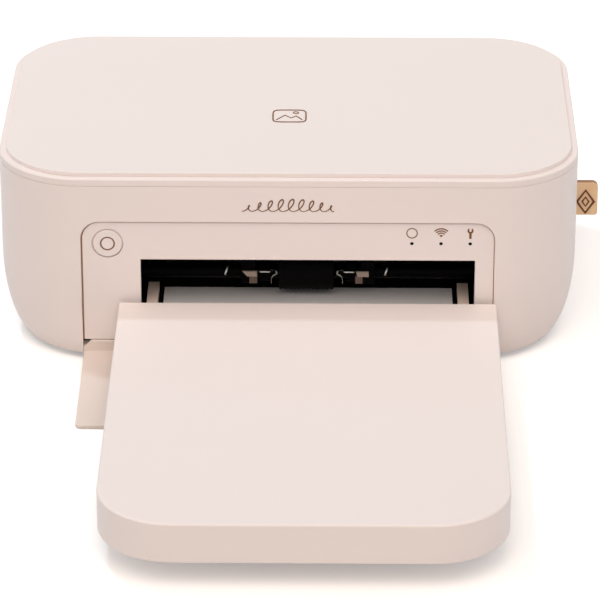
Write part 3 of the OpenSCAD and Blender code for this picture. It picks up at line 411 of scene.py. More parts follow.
# Each clip's ends, where its slanted left end meets its lower edge, and the ends of its stem, which is
# acetal painted darker as painted shade under the clip's bar.
for name, x0, x1, slant_x, stem_x0, stem_x1 in (
    ("bearing_clip_left", -16.3, -11.0, -14.5, -13.75, -11.0),
    ("bearing_clip_right", 23.9, 28.5, 24.5, 23.7, 26.3),
):
    clip = block(name, (x0, clip_front, clip_low), (x1, clip_front + clip_thick, clip_high))
    pick(clip, "VERT", lambda p: near(p.x, x0) and near(p.z, clip_low))
    bpy.ops.transform.translate(value=((slant_x - x0) * MM, 0, 0))
    soften(clip, 0.35, 2, at(1, clip_front))
    finish(clip, "housing", clip_acetal)
    stem = block(
        name + "_stem", (stem_x0, stem_front, stem_low), (stem_x1, stem_front + stem_thick, stem_high)
    )
    soften(stem, 0.2, 2, at(1, stem_front))
    finish(stem, "housing", shaded_acetal)

# --- Rollers -----------------------------------------------------------------------------------
# The pickup roller is a rubber sleeve on a blackened shaft between two black collars; shaft and
# collars are made near black also as painted shade of the slot. Each collar is held by a bent spring
# wire, whose straight leg along the collar is a painted highlight, and a snap ring further out is only
# its lit arc, a painted highlight. Behind it run rubber-coated bars.

acetal = moulded_abs("acetal", "#E6E2DA", "#EDEAE3", 0.8, 0.006, 0.32)
# The shaft's steel is blackened, and made near black beyond that as painted shade of the slot's inside.
black_steel_and_shade = worked_metal("blackened_steel_and_shade", "#0B0B0C", "#121213", 0.5, (3, 0.4, 0.4))
dress(black_steel_and_shade, "pickup_shaft")
dress(turned_steel, "head_pivot", "ribbon_door_pin")
dress(black_rubber, "pinch_roller", "feed_roller", "platen_roller")
dress(black_plastic_and_shade, "pickup_collars")
dress(acetal, "pickup_gear", "idler_gear", "feed_gear", "feed_pinion", "ribbon_pinion", "takeup_gear")


def strand(name, points, width, closed=False, curved=False):
    """A round strand along points in millimetres. A point's fourth number is its share of the width."""
    shape = bpy.data.curves.new(name, "CURVE")
    shape.dimensions = "3D"
    line = shape.splines.new("BEZIER" if curved else "POLY")
    spots = line.bezier_points if curved else line.points
    spots.add(len(points) - 1)
    line.use_cyclic_u = closed
    for spot, point in zip(spots, points):
        place = [c * MM for c in point[:3]]
        spot.co = place if curved else place + [1]
        spot.radius = point[3] if len(point) > 3 else 1
        if curved:
            spot.handle_left_type = spot.handle_right_type = "AUTO"
    shape.bevel_depth = width / 2 * MM
    shape.bevel_resolution = 3
    shape.resolution_u = 8
    shape.use_fill_caps = not closed
    piece = bpy.data.objects.new(name, shape)
    bpy.context.collection.objects.link(piece)
    take(piece)
    bpy.ops.object.convert(target="MESH")
    return bpy.context.object


bright_wire = worked_metal("nickel_plated_wire", "#C9C6C2", "#E4E1DC", 0.28, (1, 1, 1))
spring_y, spring_width = shaft_y - 4.05, 0.6
# The spring's bends: along the shaft, in front of it or behind, and up. It runs towards the sleeve.
bends = (
    (-1.6, 3.0, 27.2, 0.4),
    (-0.5, 1.2, 27.5, 0.4),
    (0.1, 0, 27.6),
    (1.8, 0, 27.6),
    (3.4, 0, 27.6),
    (4.0, 1.4, 27.6, 0.3),
    (5.0, 0.9, 27.8, 0.3),
    (5.8, -0.1, 27.7),
    (6.0, -0.2, 27.1),
    (5.4, -0.2, 26.6),
    (4.8, -0.1, 26.2, 0.9),
    (4.2, 0, 25.4, 0.35),
    (4.0, 0, 23.0, 0.3),
)
# The straight leg along the collar is a painted highlight, standing for the collar's thin highlight line;
# the hook and the leg down are the wire itself.
for name, start, hand in (("spring_wire_and_highlight_left", -10.0, 1), ("spring_wire_and_highlight_right", 23.2, -1)):
    path = [(start + hand * ahead, spring_y + y, z, *share) for ahead, y, z, *share in bends]
    finish(strand(name, path, spring_width, curved=True), "housing", bright_wire)
# Each snap ring is only the short arc that catches the light, from just below the shaft's middle to 60
# degrees up: a painted highlight on the shaft, with the ring's shaded rest left out.
snap_radius, snap_width, snap_lean = 2.75, 0.75, 0.9
for name, x in (("snap_ring_highlight_left", -22.3), ("snap_ring_highlight_right", 34.3)):
    arc = []
    for degrees in range(-6, 61, 6):
        rise, reach_out = math.sin(math.radians(degrees)), math.cos(math.radians(degrees))
        y, z = shaft_y - snap_radius * reach_out, shaft_z + snap_radius * rise
        arc.append((x + snap_lean * rise, y, z))
    finish(strand(name, arc, snap_width, curved=True), "pickup", bright_wire)

# The sleeve is cut with narrow grooves all round, which give it its grip.
roller_low, roller_high = mm_box("pickup_roller")
roller_radius = (roller_high.z - roller_low.z) / 2
shaft_radius = 2.5
sleeve_ends = (roller_low.x, roller_high.x - 1.3)
sleeve = rod("pickup_sleeve", *[(x, shaft_y, shaft_z) for x in sleeve_ends], roller_radius, 72)
grooves, groove_half, groove_depth = 12, 0.22, 0.25
pitch = (sleeve_ends[1] - sleeve_ends[0]) / grooves
groove_places = [sleeve_ends[0] + number * pitch for number in range(1, grooves)]
slice_at(sleeve, 0, *[x + hand * groove_half for x in groove_places for hand in (-1, 1)])


def in_groove(*corners):
    """The faces between two slices, one groove's width apart."""
    xs = [p.x for p in corners]
    return len(corners) == 4 and near(max(xs) - min(xs), 2 * groove_half)


pick(sleeve, "FACE", in_groove)
bpy.ops.mesh.extrude_region_move()
bpy.ops.transform.shrink_fatten(value=-groove_depth * MM)
bore_ends = (sleeve_ends[0] - 1, sleeve_ends[1] + 1)
cut(sleeve, rod("bore", *[(x, shaft_y, shaft_z) for x in bore_ends], shaft_radius, 48))
soften(sleeve, 0.3, 2, lambda a, b: near(a.x, b.x) and any(near(a.x, end) for end in sleeve_ends))
finish(sleeve, "pickup", black_rubber, ["pickup_roller"])

# --- Print head, ribbon and drive --------------------------------------------------------------
# An extruded aluminium head on a sheet-metal arm presses the dye ribbon onto the paper. The
# ribbon runs between two spools in a light grey cartridge, and two small motors drive the gears.

aluminium = worked_metal("extruded_aluminium", "#B9BABB", "#D5D5D3", 0.3, (0.3, 2, 2))
cartridge_plastic = moulded_abs("cartridge_polystyrene", "#C9C9C6", "#D3D3D0", 0.8, 0.008, 0.36)


def dye_film(name):
    # Polyester film with a dye coat: smooth and glossy, nearly black where it is wound up.
    material, shader, place = new_finish(name, IOR=1.6)
    turns = node(material, "ShaderNodeTexNoise", Vector=place, Scale=1 / (8 * MM), Detail=2.0)
    return surface(material, shader, turns, ("#1E1816", "#352B27"), turns, (0.14, 0.26))


dress(aluminium, "print_head")
dress(zinc_sheet, "head_arm", "gear_plate")
dress(turned_steel, "feed_motor", "ribbon_motor")
dress(cartridge_plastic, "ribbon_cartridge")
dress(dye_film("dye_film"), "supply_spool", "takeup_spool", "ribbon_film")

# --- Circuit boards and sockets ----------------------------------------------------------------
# Glass-fibre boards under green solder mask, with black components and two sockets at the back.


def solder_mask(name):
    # Green lacquer over glass fibre and copper: weave and tracks show as a faint change of tone.
    material, shader, place = new_finish(name, IOR=1.55)
    weave = node(material, "ShaderNodeTexNoise", Vector=place, Scale=1 / (2.5 * MM), Detail=3.0)
    return surface(material, shader, weave, ("#1F4A33", "#3A7050"), weave, (0.25, 0.4))


dress(solder_mask("solder_mask"), "main_board", "button_board", "status_board")
dress(black_plastic, "board_parts", "tact_switch", "dc_jack")
dress(zinc_sheet, "usb_socket")

# --- Front panel -------------------------------------------------------------------------------
# A flat panel recessed in the front, moulded in the same ABS as the housing. It carries the
# paper slot, open at the bottom, the button's hole and three pinholes for the indicators. A tan
# strip fills the shallow step all round, its colour painted shade: it stands for the shadow in the
# fine line between the panel and the housing.

panel_face, panel_back = front + 0.9, front + 3.7
panel_shift, panel_bottom = 0.14, 7.85
# The face, the step and the painted shade strip lie inside the recess's outline; the flange reaches behind
# it.
face_in, step_in, step_depth = 0.4, 0.2, 0.75
flange_out, flange_thick = 0.8, 0.8
shade_strip_out, shade_strip_in, shade_strip_depth = 0.06, 0.9, 0.25
past = 2  # how far a cutter runs past the panel


def arched(name, grow, y0, y1):
    """The recess's outline with its two round corners, as a plate. It sits a little to the right."""
    edges = -recess_half - grow + panel_shift, recess_half + grow + panel_shift
    plate = block(name, (edges[0], y0, panel_bottom), (edges[1], y1, recess_top + grow))
    pick(plate, "EDGE", both(along(1), at(2, recess_top + grow)))
    round_off(recess_round + grow, 12)
    return plate


panel = arched("recessed_panel", -face_in, panel_face, panel_back - 0.5)
weld(panel, arched("step", -step_in, panel_face + step_depth, panel_back - 0.4))
weld(panel, arched("flange", flange_out, panel_back - flange_thick, panel_back))
slot_top = 38.9
slot_low = (path_x - slot_half, panel_face - past, 0)
cut(panel, block("slot", slot_low, (path_x + slot_half, panel_back + past, slot_top)))


def panel_hole(name, x, z, radius, sides):
    """A round hole from front to back through the panel."""
    cut(panel, rod(name, (x, panel_face - past, z), (x, panel_back + past, z), radius, sides))


button_x, button_z, button_radius = -62.8, 45, 5.4
panel_hole("button_hole", button_x, button_z, button_radius + 0.1, 96)
lamps, lamp_z, lamp_radius = (43.3, 53.45, 63.6), 45.3, 0.65
for x in lamps:
    panel_hole("lamp_hole", x, lamp_z, lamp_radius, 24)
soften(panel, 0.15, 2, at(1, panel_face))
finish(panel, "housing", white_abs, ["front_panel"])

# The tan strip's colour is painted shade, the shadow in the gap round the panel.
painted_gap_shade = moulded_rubber("tan_gap_shade", "#A67C5E", "#B58C6E")
shade_strip_y = (panel_face + shade_strip_depth, panel_face + step_depth - 0.01)
gap_shade_strip = arched("panel_gap_shade_strip", -shade_strip_out, *shade_strip_y)
cut(gap_shade_strip, arched("inside_gap_shade_strip", -shade_strip_in, panel_face - 1, panel_back))
finish(gap_shade_strip, "housing", painted_gap_shade)

# --- Power button ------------------------------------------------------------------------------
# A round ABS cap in the panel's upper left corner, with a thin ring groove filled in bronze, and a rim
# whose face in the gap round the cap is painted brown: painted shade of that gap. A collar behind the
# panel keeps it in, and its stem works a switch.


def bronze_ink(name, code, code_2):
    # Pad-printed bronze ink: brown, half matt, with a little metal flake in it.
    material, shader, place = new_finish(name, Metallic=0.3)
    flake = node(material, "ShaderNodeTexNoise", Vector=place, Scale=1 / (0.3 * MM), Detail=2.0)
    return surface(material, shader, flake, (code, code_2), flake, (0.4, 0.55))


bronze = bronze_ink("bronze_ink", "#7B5840", "#8F6A4F")
# Brown ink for the printed marks; the same brown is painted shade in the gap round the button's cap.
brown_ink_and_gap_shade = bronze_ink("brown_ink_and_gap_shade", "#6B421E", "#80552A")
button_low, button_high = mm_box("power_button")
button_face = button_low.y - 0.3
cap_radius, cap_edge = button_radius - 0.38, 0.3
ring_radius, ring_half, ring_depth = 2.36, 0.29, 0.2
rim_depth, collar_out, stem_radius = 0.95, 0.8, 1.6


def across(name, y0, y1, radius, sides=96):
    """A round bar from front to back on the button's axis."""
    return rod(name, (button_x, y0, button_z), (button_x, y1, button_z), radius, sides)


def reach(p):
    """Distance from the button's axis."""
    return math.hypot(p.x - button_x, p.z - button_z)


def in_ring(*corners):
    """The faces between the two insets, which become the groove."""
    within = ring_radius + ring_half + 0.01
    return len(corners) == 4 and all(near(p.y, button_face) and reach(p) < within for p in corners)


cap = across("button_cap", button_face, panel_back, cap_radius)
soften(cap, cap_edge, 3, at(1, button_face))
pick(cap, "FACE", at(1, button_face))
bpy.ops.mesh.inset(thickness=(cap_radius - cap_edge - ring_radius - ring_half) * MM)
bpy.ops.mesh.inset(thickness=2 * ring_half * MM)
pick(cap, "FACE", in_ring)
bpy.ops.mesh.extrude_region_move(TRANSFORM_OT_translate={"value": (0, ring_depth * MM, 0)})
weld(cap, across("rim", button_face + rim_depth, panel_back + 0.5, button_radius))
weld(cap, across("collar", panel_back + 0.3, panel_back + 1.3, button_radius + collar_out))
weld(cap, across("stem", panel_back + 1, button_high.y, stem_radius, 32))
finish(cap, "power_button", [white_abs, bronze, brown_ink_and_gap_shade], ["power_button"])
# The ring groove takes the bronze; the rim's face that shows in the gap round the cap takes the brown, as
# painted shade of that gap.
for face in cap.data.polygons:
    place = face.center / MM
    if near(reach(place), ring_radius, 0.3) and near(place.y, button_face + ring_depth, 0.05):
        face.material_index = 1
    elif near(reach(place), button_radius, 0.4) and near(place.y, button_face + rim_depth, 0.05):
        face.material_index = 2

# --- Indicators --------------------------------------------------------------------------------
# Three smoked light pipes behind pinholes, each under a small symbol printed in bronze or brown
# ink: a ring for power, arcs for the wireless link and a spanner for service.

smoked = moulded_abs("smoked_polycarbonate", "#060505", "#0A0808", 0.5, 0.002, 0.25, 0.15)
dress(smoked, "led_pipes")
ink, symbol_z = 0.06, 49.4


def ring(name, x, z, outer, inner):
    """A thin flat ring of ink on the panel."""
    take()
    bpy.ops.mesh.primitive_circle_add(
        vertices=64,
        radius=outer * MM,
        fill_type="NGON",
        location=(x * MM, panel_face * MM, z * MM),
        rotation=(math.pi / 2, 0, 0),
    )
    piece = settle(name)
    pick(piece, "FACE")
    bpy.ops.mesh.inset(thickness=(outer - inner) * MM)
    bpy.ops.mesh.delete(type="FACE")
    pick(piece, "FACE")
    bpy.ops.mesh.extrude_region_move(TRANSFORM_OT_translate={"value": (0, -ink * MM, 0)})
    bpy.ops.mesh.select_all(action="SELECT")
    bpy.ops.mesh.normals_make_consistent(inside=False)
    bpy.ops.object.mode_set(mode="OBJECT")
    return piece


finish(ring("power_symbol", lamps[0], symbol_z, 2.0, 1.62), "housing", bronze)

# The arcs are rings about one point, cut to a fan that opens upwards.
fan_x, fan_z = lamps[1], symbol_z - 1.5
fan = ring("link_symbol", fan_x, fan_z, 3.5, 3.0)
dot = rod("dot", (fan_x, panel_face - ink, fan_z), (fan_x, panel_face, fan_z), 0.95, 32)
weld(fan, ring("arc", fan_x, fan_z, 2.65, 2.2), ring("arc", fan_x, fan_z, 1.85, 1.4), dot)
half_turn = math.radians(44)
fan_point = (fan_x * MM, 0, fan_z * MM)
for hand in (-1, 1):
    pick(fan, "FACE")
    outward = Vector((hand * math.cos(half_turn), 0, -math.sin(half_turn)))
    bpy.ops.mesh.bisect(plane_co=fan_point, plane_no=outward, clear_outer=True, use_fill=True)
bpy.ops.object.mode_set(mode="OBJECT")
finish(fan, "housing", bronze)

# The spanner is a ring with its jaw cut open, on a straight shank.
spanner_x, jaw_z, jaw_half, shank_half = lamps[2], symbol_z + 1.0, 0.4, 0.42
spanner = ring("service_symbol", spanner_x, jaw_z, 1.05, jaw_half)
jaw_low = (spanner_x - jaw_half, panel_face - 1, jaw_z - 0.1)
cut(spanner, block("jaw", jaw_low, (spanner_x + jaw_half, panel_face + 1, jaw_z + 2)))
shank_low = (spanner_x - shank_half, panel_face - ink, symbol_z - 2.0)
weld(spanner, block("shank", shank_low, (spanner_x + shank_half, panel_face, symbol_z + 0.2)))
finish(spanner, "housing", brown_ink_and_gap_shade)

# --- Front door --------------------------------------------------------------------------------
# The thin door that folds down in front of the cassette, one ABS moulding: a flap, an upright
# strip behind it and a round barrel with a stub pin at each end.

tip_y = mm_box("front_door")[0].y
door_half = 71.85
flap_low, flap_thick, flap_drop, flap_round = 2.4, 1.2, 2.1, 1.8
strip_low, strip_high, strip_thick, slant_low = 3, 7.6, 1.3, 5
hinge_y, hinge_z, barrel_radius = front + 1.6, 4.2, 1.3
pin_end, pin_radius = recess_half + 0.4, 0.55
flap = block("flap_door", (-door_half, tip_y, flap_low), (door_half, hinge_y, flap_low + flap_thick))
slice_at(flap, 1, front)
pick(flap, "VERT", at(1, tip_y))
bpy.ops.transform.translate(value=(0, 0, -flap_drop * MM))
pick(flap, "EDGE", both(along(2), at(1, tip_y)))
round_off(flap_round, 8)
strip = block("strip", (-door_half, front, strip_low), (door_half, front + strip_thick, strip_high))
# The strip's upper corners are cut off at a slant.
for hand in (-1, 1):
    pick(strip, "FACE")
    corner_point, outward = (hand * door_half * MM, 0, slant_low * MM), (hand * 2.6, 0, 2)
    bpy.ops.mesh.bisect(plane_co=corner_point, plane_no=outward, clear_outer=True, use_fill=True)
weld(flap, strip)
for name, end, radius in (("barrel", door_half, barrel_radius), ("pins", pin_end, pin_radius)):
    weld(flap, rod(name, (-end, hinge_y, hinge_z), (end, hinge_y, hinge_z), radius, 32))
soften(flap, 0.25, 2, lambda a, b: max(a.y, b.y) < front + 0.1)
# The door's ABS is the housing's, painted a little darker: painted shade on the low flap in front of the
# housing.
door_abs_painted_shade = moulded_abs("door_abs_painted_shade", "#E5D8D0", "#E9DDD6")
finish(flap, "front_door", door_abs_painted_shade, ["front_door"])

# --- Top cover and top plate -------------------------------------------------------------------
# The cover closes the housing with a soft-edged rim and drops inside it with a lip. A flat plate
# with a small round edge lies on it, and its own wall shows as a fine band all round.


def slab(name, low, high, radius, edge=0.0):
    """A flat slab with round corners, and a round upper edge if it has one."""
    piece = block(name, low, high)
    pick(piece, "EDGE", along(2))
    round_off(radius, 32)
    if edge:
        pick(piece, "EDGE", at(2, high[2]))
        round_off(edge, 4)
    return piece


cover_low, cover_high = mm_box("top_cover")
plate_low, plate_high = mm_box("top_plate")
cover_edge, plate_edge, plate_corner = 0.55, 0.22, 27.55
lip_gap, lip_thick = 2.4, 1.6


def inner_slab(name, inset, z0, z1):
    """A slab inside the cover's outline, with corners about the same centres."""
    low = (cover_low.x + inset, cover_low.y + inset, z0)
    return slab(name, low, (cover_high.x - inset, cover_high.y - inset, z1), corner - inset)


cover = slab("rim_cover", (cover_low.x, cover_low.y, seam_z), cover_high, corner, cover_edge)
pick(cover, "EDGE", at(2, seam_z))
round_off(0.3)
lip = inner_slab("lip", lip_gap, cover_low.z, seam_z + 0.5)
cut(lip, inner_slab("hollow", lip_gap + lip_thick, cover_low.z - 1, seam_z))
weld(cover, lip)
finish(cover, "housing", white_abs, ["top_cover"])

plate = slab("raised_plate", plate_low, plate_high, plate_corner, plate_edge)
pick(plate, "EDGE", at(2, plate_low.z))
round_off(0.15, 1)
finish(plate, "housing", white_abs, ["top_plate"])

# --- Side door and leather tab -----------------------------------------------------------------
# The ribbon door closes the right side flush, on a steel wire at its rear edge. A folded strip of
# tanned leather with burnished edges is drawn through a slit near its free edge to pull it open.

side_low, side_high = mm_box("ribbon_door")
tab_low, tab_high = mm_box("pull_tab")
wire_x, wire_y, inner_x = side - shell_wall / 2, 31.8, side - shell_wall
wire_hole, rib_y, rib_z, rib_thick, rib_depth = 0.65, (-20.4, 27.8), (36, 58.6), 1.4, 1.2
tab_front, tab_back, slit_gap = -26.6, -24.2, 0.15
side_door = block("side_door", (inner_x, side_low.y, side_low.z), (side, wire_y, side_high.z))
wire_ends = [(wire_x, wire_y, z) for z in (side_low.z, side_high.z)]
weld(side_door, rod("knuckle", *wire_ends, shell_wall / 2, 48))
for z in rib_z:
    rib_high = (inner_x + 0.1, rib_y[1], z + rib_thick)
    weld(side_door, block("rib", (inner_x - rib_depth, rib_y[0], z), rib_high))
hole_ends = [(wire_x, wire_y, z) for z in (side_low.z - 3, side_high.z + 3)]
cut(side_door, rod("wire_hole", *hole_ends, wire_hole, 24))
slit_low = (inner_x - 5, tab_front - slit_gap, tab_low.z - slit_gap)
cut(side_door, block("slit", slit_low, (side + 3, tab_back + slit_gap, tab_high.z + slit_gap)))
soften(side_door, 0.3, 2, at(0, side))
finish(side_door, "ribbon_door", white_abs, ["ribbon_door"])


def tanned_leather(name, code, code_2, roughness, grain_depth):
    # Vegetable-tanned leather: fine creased grain, uneven tan, waxed to a low sheen. Where it is
    # burnished, along the edges and in the burnt lines, it is darker and smoother.
    material, shader, place = new_finish(name, IOR=1.45)
    cloud = node(material, "ShaderNodeTexNoise", Vector=place, Scale=1 / (4 * MM), Detail=4.0)
    grain = node(material, "ShaderNodeTexVoronoi", Vector=place, Scale=1 / (0.55 * MM))
    wax = (roughness, roughness + 0.18)
    return surface(material, shader, cloud, (code, code_2), cloud, wax, grain, 0.4, grain_depth)


leather = tanned_leather("tanned_leather", "#E6BC90", "#F4D9B4", 0.42, 0.06)
edge_leather = tanned_leather("edge_leather", "#8E6B4D", "#A98259", 0.36, 0.03)
burnt_leather = tanned_leather("burnt_leather", "#5A3013", "#74421E", 0.34, 0.02)
tab_root, bead_out = inner_x - 1.2, 1.2
tab = block("leather_tab", (tab_root, tab_front, tab_low.z), (tab_high.x, tab_back, tab_high.z))
for end, width in ((tab_high.z, 2), (tab_low.z, 1)):
    pick(tab, "EDGE", both(along(1), at(0, tab_high.x), at(2, end)))
    round_off(width, 8)
soften(tab, 0.3, 2, lambda a, b: near(a.y, b.y))
# Behind the door the strip is folded round into a bead, which can't pass the slit.
bead_low = (tab_root - bead_out, tab_front - bead_out, tab_low.z + 0.4)
weld(tab, block("bead", bead_low, (tab_root + 1, tab_back + bead_out, tab_high.z - 0.4)))
finish(tab, "ribbon_door", [leather, edge_leather], ["pull_tab"])
for face in tab.data.polygons:
    if abs(face.normal.y) < 0.6:
        face.material_index = 1

# A plain diamond with a smaller one in it is burnt into both faces.
sign_x, sign_z = (side + tab_high.x) / 2 - 0.2, (tab_low.z + tab_high.z) / 2 - 1.1
sign_half_x, sign_half_z = 3.0, 4.4
for number, y in enumerate((tab_front, tab_back)):
    for size, width in ((1.0, 0.95), (0.4, 0.7)):
        corners = []
        for along_x, along_z in ((1, 0), (0, 1), (-1, 0), (0, -1)):
            x, z = sign_x + sign_half_x * size * along_x, sign_z + sign_half_z * size * along_z
            corners.append((x, y, z))
        burnt = strand(f"burnt_line_{number}_{round(size * 100)}", corners, width, True)
        finish(burnt, "ribbon_door", burnt_leather)

# --- Cassette ----------------------------------------------------------------------------------
# The paper cassette: a moulded base with arms that enter the slot, black side guides, a sprung
# lift plate and a stack of photo paper, all under a hood with large front corners.

cassette_abs = moulded_abs("cassette_abs", "#DCC9BE", "#E2D1C7", 0.35, 0.012, 0.5)
dress(cassette_abs, "cassette_base")
dress(black_plastic_and_shade, "paper_guides")
dress(zinc_sheet, "lift_plate")
dress(black_rubber, "separator_pad")


def photo_paper(name, code, code_2, sheet):
    # Resin-coated photo paper: a smooth white front, and cut edges that show the sheets, 0.26 mm thick.
    material, shader, place = new_finish(name, IOR=1.5)
    height = node(material, "ShaderNodeSeparateXYZ", Vector=place).outputs["Z"]
    per_sheet = 2 * math.pi / (sheet * MM)
    turns = node(material, "ShaderNodeMath", {"operation": "MULTIPLY"}, _0=height, _1=per_sheet)
    sheets = node(material, "ShaderNodeMath", {"operation": "SINE"}, _0=turns)
    fibre = node(material, "ShaderNodeTexNoise", Vector=place, Scale=1 / (30 * MM), Detail=2.0)
    return surface(material, shader, fibre, (code, code_2), fibre, (0.3, 0.4), sheets, 0.3, 0.05)


dress(photo_paper("photo_paper", "#F2F2F4", "#F7F7F8", 0.26), "paper_stack")

# A black shoe is clipped over the end of each arm.
arm_end, arm_top = -39, 21.6
shoe_low, shoe_length, shoe_skin, shoe_round = 14, 6.5, 0.12, 6
for name, x0, x1 in (("arm_shoe_left", -49.7, -45.9), ("arm_shoe_right", 59.9, 63.7)):
    shoe_end, shoe_top = arm_end + shoe_skin, arm_top + shoe_skin
    shoe_start = (x0 - shoe_skin, arm_end - shoe_length, shoe_low)
    shoe = block(name, shoe_start, (x1 + shoe_skin, shoe_end, shoe_top))
    pick(shoe, "EDGE", both(at(1, shoe_end), at(2, shoe_top)))
    round_off(shoe_round, 12)
    finish(shoe, "cassette", black_plastic_and_shade)

lid_low, lid_high = mm_box("cassette_lid")
lid_corner, lid_wall, lid_top_edge, lid_foot_edge = 25, 1.8, 0.8, 0.4
hood = block("cassette_hood", lid_low, lid_high)
pick(hood, "EDGE", both(along(2), at(1, lid_low.y)))
round_off(lid_corner, 32)
for end, width, steps in ((lid_high.z, lid_top_edge, 4), (lid_low.z, lid_foot_edge, 2)):
    pick(hood, "EDGE", lambda a, b: at(2, end)(a, b) and not at(1, lid_high.y)(a, b))
    round_off(width, steps)
inside = block(
    "inside",
    (lid_low.x + lid_wall, lid_low.y + lid_wall, lid_low.z - 5),
    (lid_high.x - lid_wall, lid_high.y + 5, lid_high.z - lid_wall),
)
pick(inside, "EDGE", both(along(2), at(1, lid_low.y + lid_wall)))
round_off(lid_corner - lid_wall, 24)
cut(hood, inside)
# Pockets under the top clear the base's knuckles, and two holes take its pins.
pin_y, pin_z, pin_hole, pin_ends = -69.8, 21, 0.85, (60, 65.5)
knuckle_x, pocket_half = 62.95, 1.35
pocket_y, pocket_z = (pin_y - 2.4, lid_high.y + 5), (pin_z - 1, pin_z + 1.6)
for hand in (-1, 1):
    x = path_x + hand * knuckle_x
    pocket_low = (x - pocket_half, pocket_y[0], pocket_z[0])
    cut(hood, block("pocket", pocket_low, (x + pocket_half, pocket_y[1], pocket_z[1])))
    ends = [(path_x + hand * end, pin_y, pin_z) for end in pin_ends]
    cut(hood, rod("pin_hole", *ends, pin_hole, 24))
soften(hood, 0.25, 2, lambda a, b: at(1, lid_high.y)(a, b) and max(a.z, b.z) > lid_high.z - 0.9)
finish(hood, "cassette_lid", white_abs, ["cassette_lid"])

# --- Marks -------------------------------------------------------------------------------------
# Small marks drawn in brown ink: a plain picture symbol on the top plate, and a fine looped
# ornament on the housing above the panel.

top, mark_y = plate_high.z, -12.9


def oval(x, y, half_x, half_y, points, squareness=1.0):
    """Points round an oval on the top plate. A squareness below 1 makes it a square with round corners."""
    places = []
    for number in range(points):
        angle = 2 * math.pi * number / points
        along_x = math.copysign(abs(math.cos(angle)) ** squareness, math.cos(angle))
        along_y = math.copysign(abs(math.sin(angle)) ** squareness, math.sin(angle))
        places.append((x + half_x * along_x, y + half_y * along_y, top))
    return places


mark_frame = oval(0, mark_y, 5.9, 5.5, 48, 0.35)
hills = ((-4.6, -3.4), (-1.6, 0.8), (0.6, -1.8), (2.4, 0.1), (4.6, -3.4))
hill_line = [(x, mark_y + y, top) for x, y in hills]
sun = oval(2.3, mark_y + 3.1, 0.9, 0.9, 16)
for name, points, width, closed in (
    ("picture_symbol", mark_frame, 0.56, True),
    ("picture_hills", hill_line, 0.5, False),
    ("picture_sun", sun, 0.45, True),
):
    finish(strand(name, points, width, closed), "housing", brown_ink_and_gap_shade)

# The ornament is a row of slanted loops that swell towards its middle, thick at each loop's crown.
ornament_x, ornament_low, ornament_half = 0.2, 57.9, 16
loops, loop_points, loop_rise, loop_half, slant = 9, 24, 2.3, 1.6, 0.35
scroll = []
for number in range(loops * loop_points + 1):
    turn = 2 * math.pi * number / loop_points
    share = 2 * number / (loops * loop_points) - 1
    swell = 0.35 + 0.65 * (1 - share * share)
    rise = loop_rise * swell * (1 - math.cos(turn))
    x = ornament_x + ornament_half * share + loop_half * swell * math.sin(turn) + slant * rise
    scroll.append((x, front, ornament_low + rise, 0.5 + 0.5 * abs(math.sin(turn / 2))))
finish(strand("front_ornament", scroll, 0.5), "housing", brown_ink_and_gap_shade)

# --- Floor, light and camera -------------------------------------------------------------------
# A plain pale floor, a soft room that is cool at the sides and warm from above and in front, and
# one small cool lamp high behind on the left, which lays the housing's shadow on the cassette.


def seen_rays(owner):
    """1 for rays that show the room, straight on or by way of metal or glass, 0 for those that light."""
    rays = node(owner, "ShaderNodeLightPath").outputs
    seen = rays["Is Camera Ray"]
    for kind in ("Is Glossy Ray", "Is Transmission Ray"):
        seen = node(owner, "ShaderNodeMath", {"operation": "MAXIMUM"}, _0=seen, _1=rays[kind]).outputs[0]
    return seen


take()
bpy.ops.mesh.primitive_plane_add(size=6, location=(0, 0, 0))
floor = settle("floor")
pale = bpy.data.materials.new("pale_floor")
pale.use_nodes = True
pale.node_tree.nodes.clear()
seen = seen_rays(pale)
tint, white, floor_glow = linear("#D9D3CE"), linear("#FFFFFF"), 0.27
paint = node(pale, "ShaderNodeMix", {"data_type": "RGBA"}, _0=seen, _6=tint, _7=white)
glow_share = node(pale, "ShaderNodeMath", {"operation": "MULTIPLY"}, _0=seen, _1=floor_glow)
lit = node(pale, "ShaderNodeBsdfDiffuse", Color=paint.outputs[2])
glow = node(pale, "ShaderNodeEmission", Color=white, Strength=glow_share)
lit_and_glow = node(pale, "ShaderNodeAddShader", _0=lit, _1=glow)
node(pale, "ShaderNodeOutputMaterial", Surface=lit_and_glow)
floor.data.materials.append(pale)

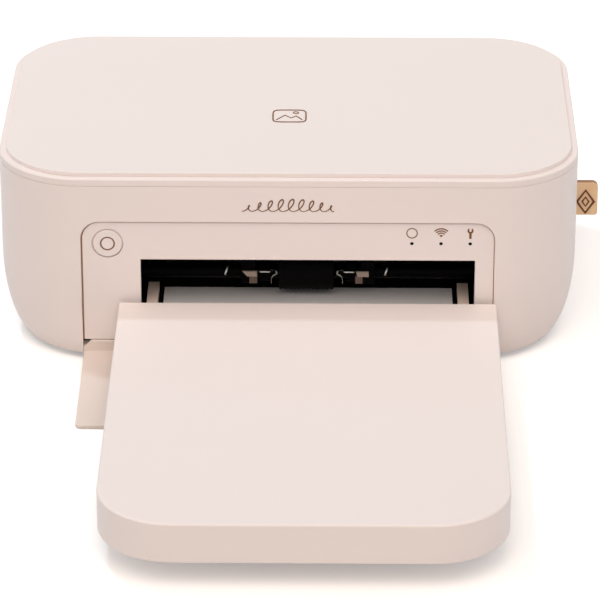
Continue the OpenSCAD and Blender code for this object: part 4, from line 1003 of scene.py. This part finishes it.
# The room's light is a sum of soft lobes, each with a direction, how narrow it is, a colour and a level.
room = bpy.data.worlds.new("studio")
bpy.context.scene.world = room
room.use_nodes = True
room.node_tree.nodes.clear()
place = node(room, "ShaderNodeTexCoord").outputs["Generated"]
walls = node(room, "ShaderNodeBackground", Strength=0.0)
for direction, narrow, code, level in (
    ((-1, 0, 0), 2, "#E2EDFA", 0.85),
    ((1, 0, 0), 2, "#E2EDFA", 1.0),
    ((0, 1, 0), 2, "#FFFFFF", 0.25),
    ((-0.02, -0.6, 1), 8, "#FFEFE1", 3.75),
):
    facing = Vector(direction).normalized()
    dot = node(room, "ShaderNodeVectorMath", {"operation": "DOT_PRODUCT"}, _0=place, _1=facing)
    share = node(room, "ShaderNodeMath", {"operation": "MAXIMUM"}, _0=dot.outputs["Value"], _1=0.0)
    share = node(room, "ShaderNodeMath", {"operation": "POWER"}, _0=share, _1=narrow)
    share = node(room, "ShaderNodeMath", {"operation": "MULTIPLY"}, _0=share, _1=level)
    lobe = node(room, "ShaderNodeBackground", Color=linear(code), Strength=share)
    walls = node(room, "ShaderNodeAddShader", _0=walls, _1=lobe)
backdrop = node(room, "ShaderNodeBackground", Color=white, Strength=1.0)
sky = node(room, "ShaderNodeMixShader", _0=seen_rays(room), _1=walls, _2=backdrop)
node(room, "ShaderNodeOutputWorld", Surface=sky)

lamp = bpy.data.lights.new("overhead", "AREA")
lamp.shape, lamp.size = "SQUARE", 0.07
lamp.energy, lamp.color = 3.8, (0.7, 0.88, 1)
stand = bpy.data.objects.new("overhead", lamp)
bpy.context.collection.objects.link(stand)
lamp_place, lamp_target = Vector((-0.472, 0.355, 1.332)), Vector((0, -0.07, 0.03))
stand.location = lamp_place
stand.rotation_euler = (lamp_target - lamp_place).to_track_quat("-Z", "Y").to_euler()

camera = bpy.data.cameras.new("camera")
camera.sensor_fit = "HORIZONTAL"
camera.sensor_width, camera.lens = 36, 232.44
camera.clip_end = 20
viewer = bpy.data.objects.new("camera", camera)
bpy.context.collection.objects.link(viewer)
viewer.location = (0.0176, -1.2923, 0.6081)
viewer.rotation_euler = (math.radians(64.52), 0, math.radians(0.62))
bpy.context.scene.camera = viewer
bpy.context.scene.view_settings.view_transform = "Standard"
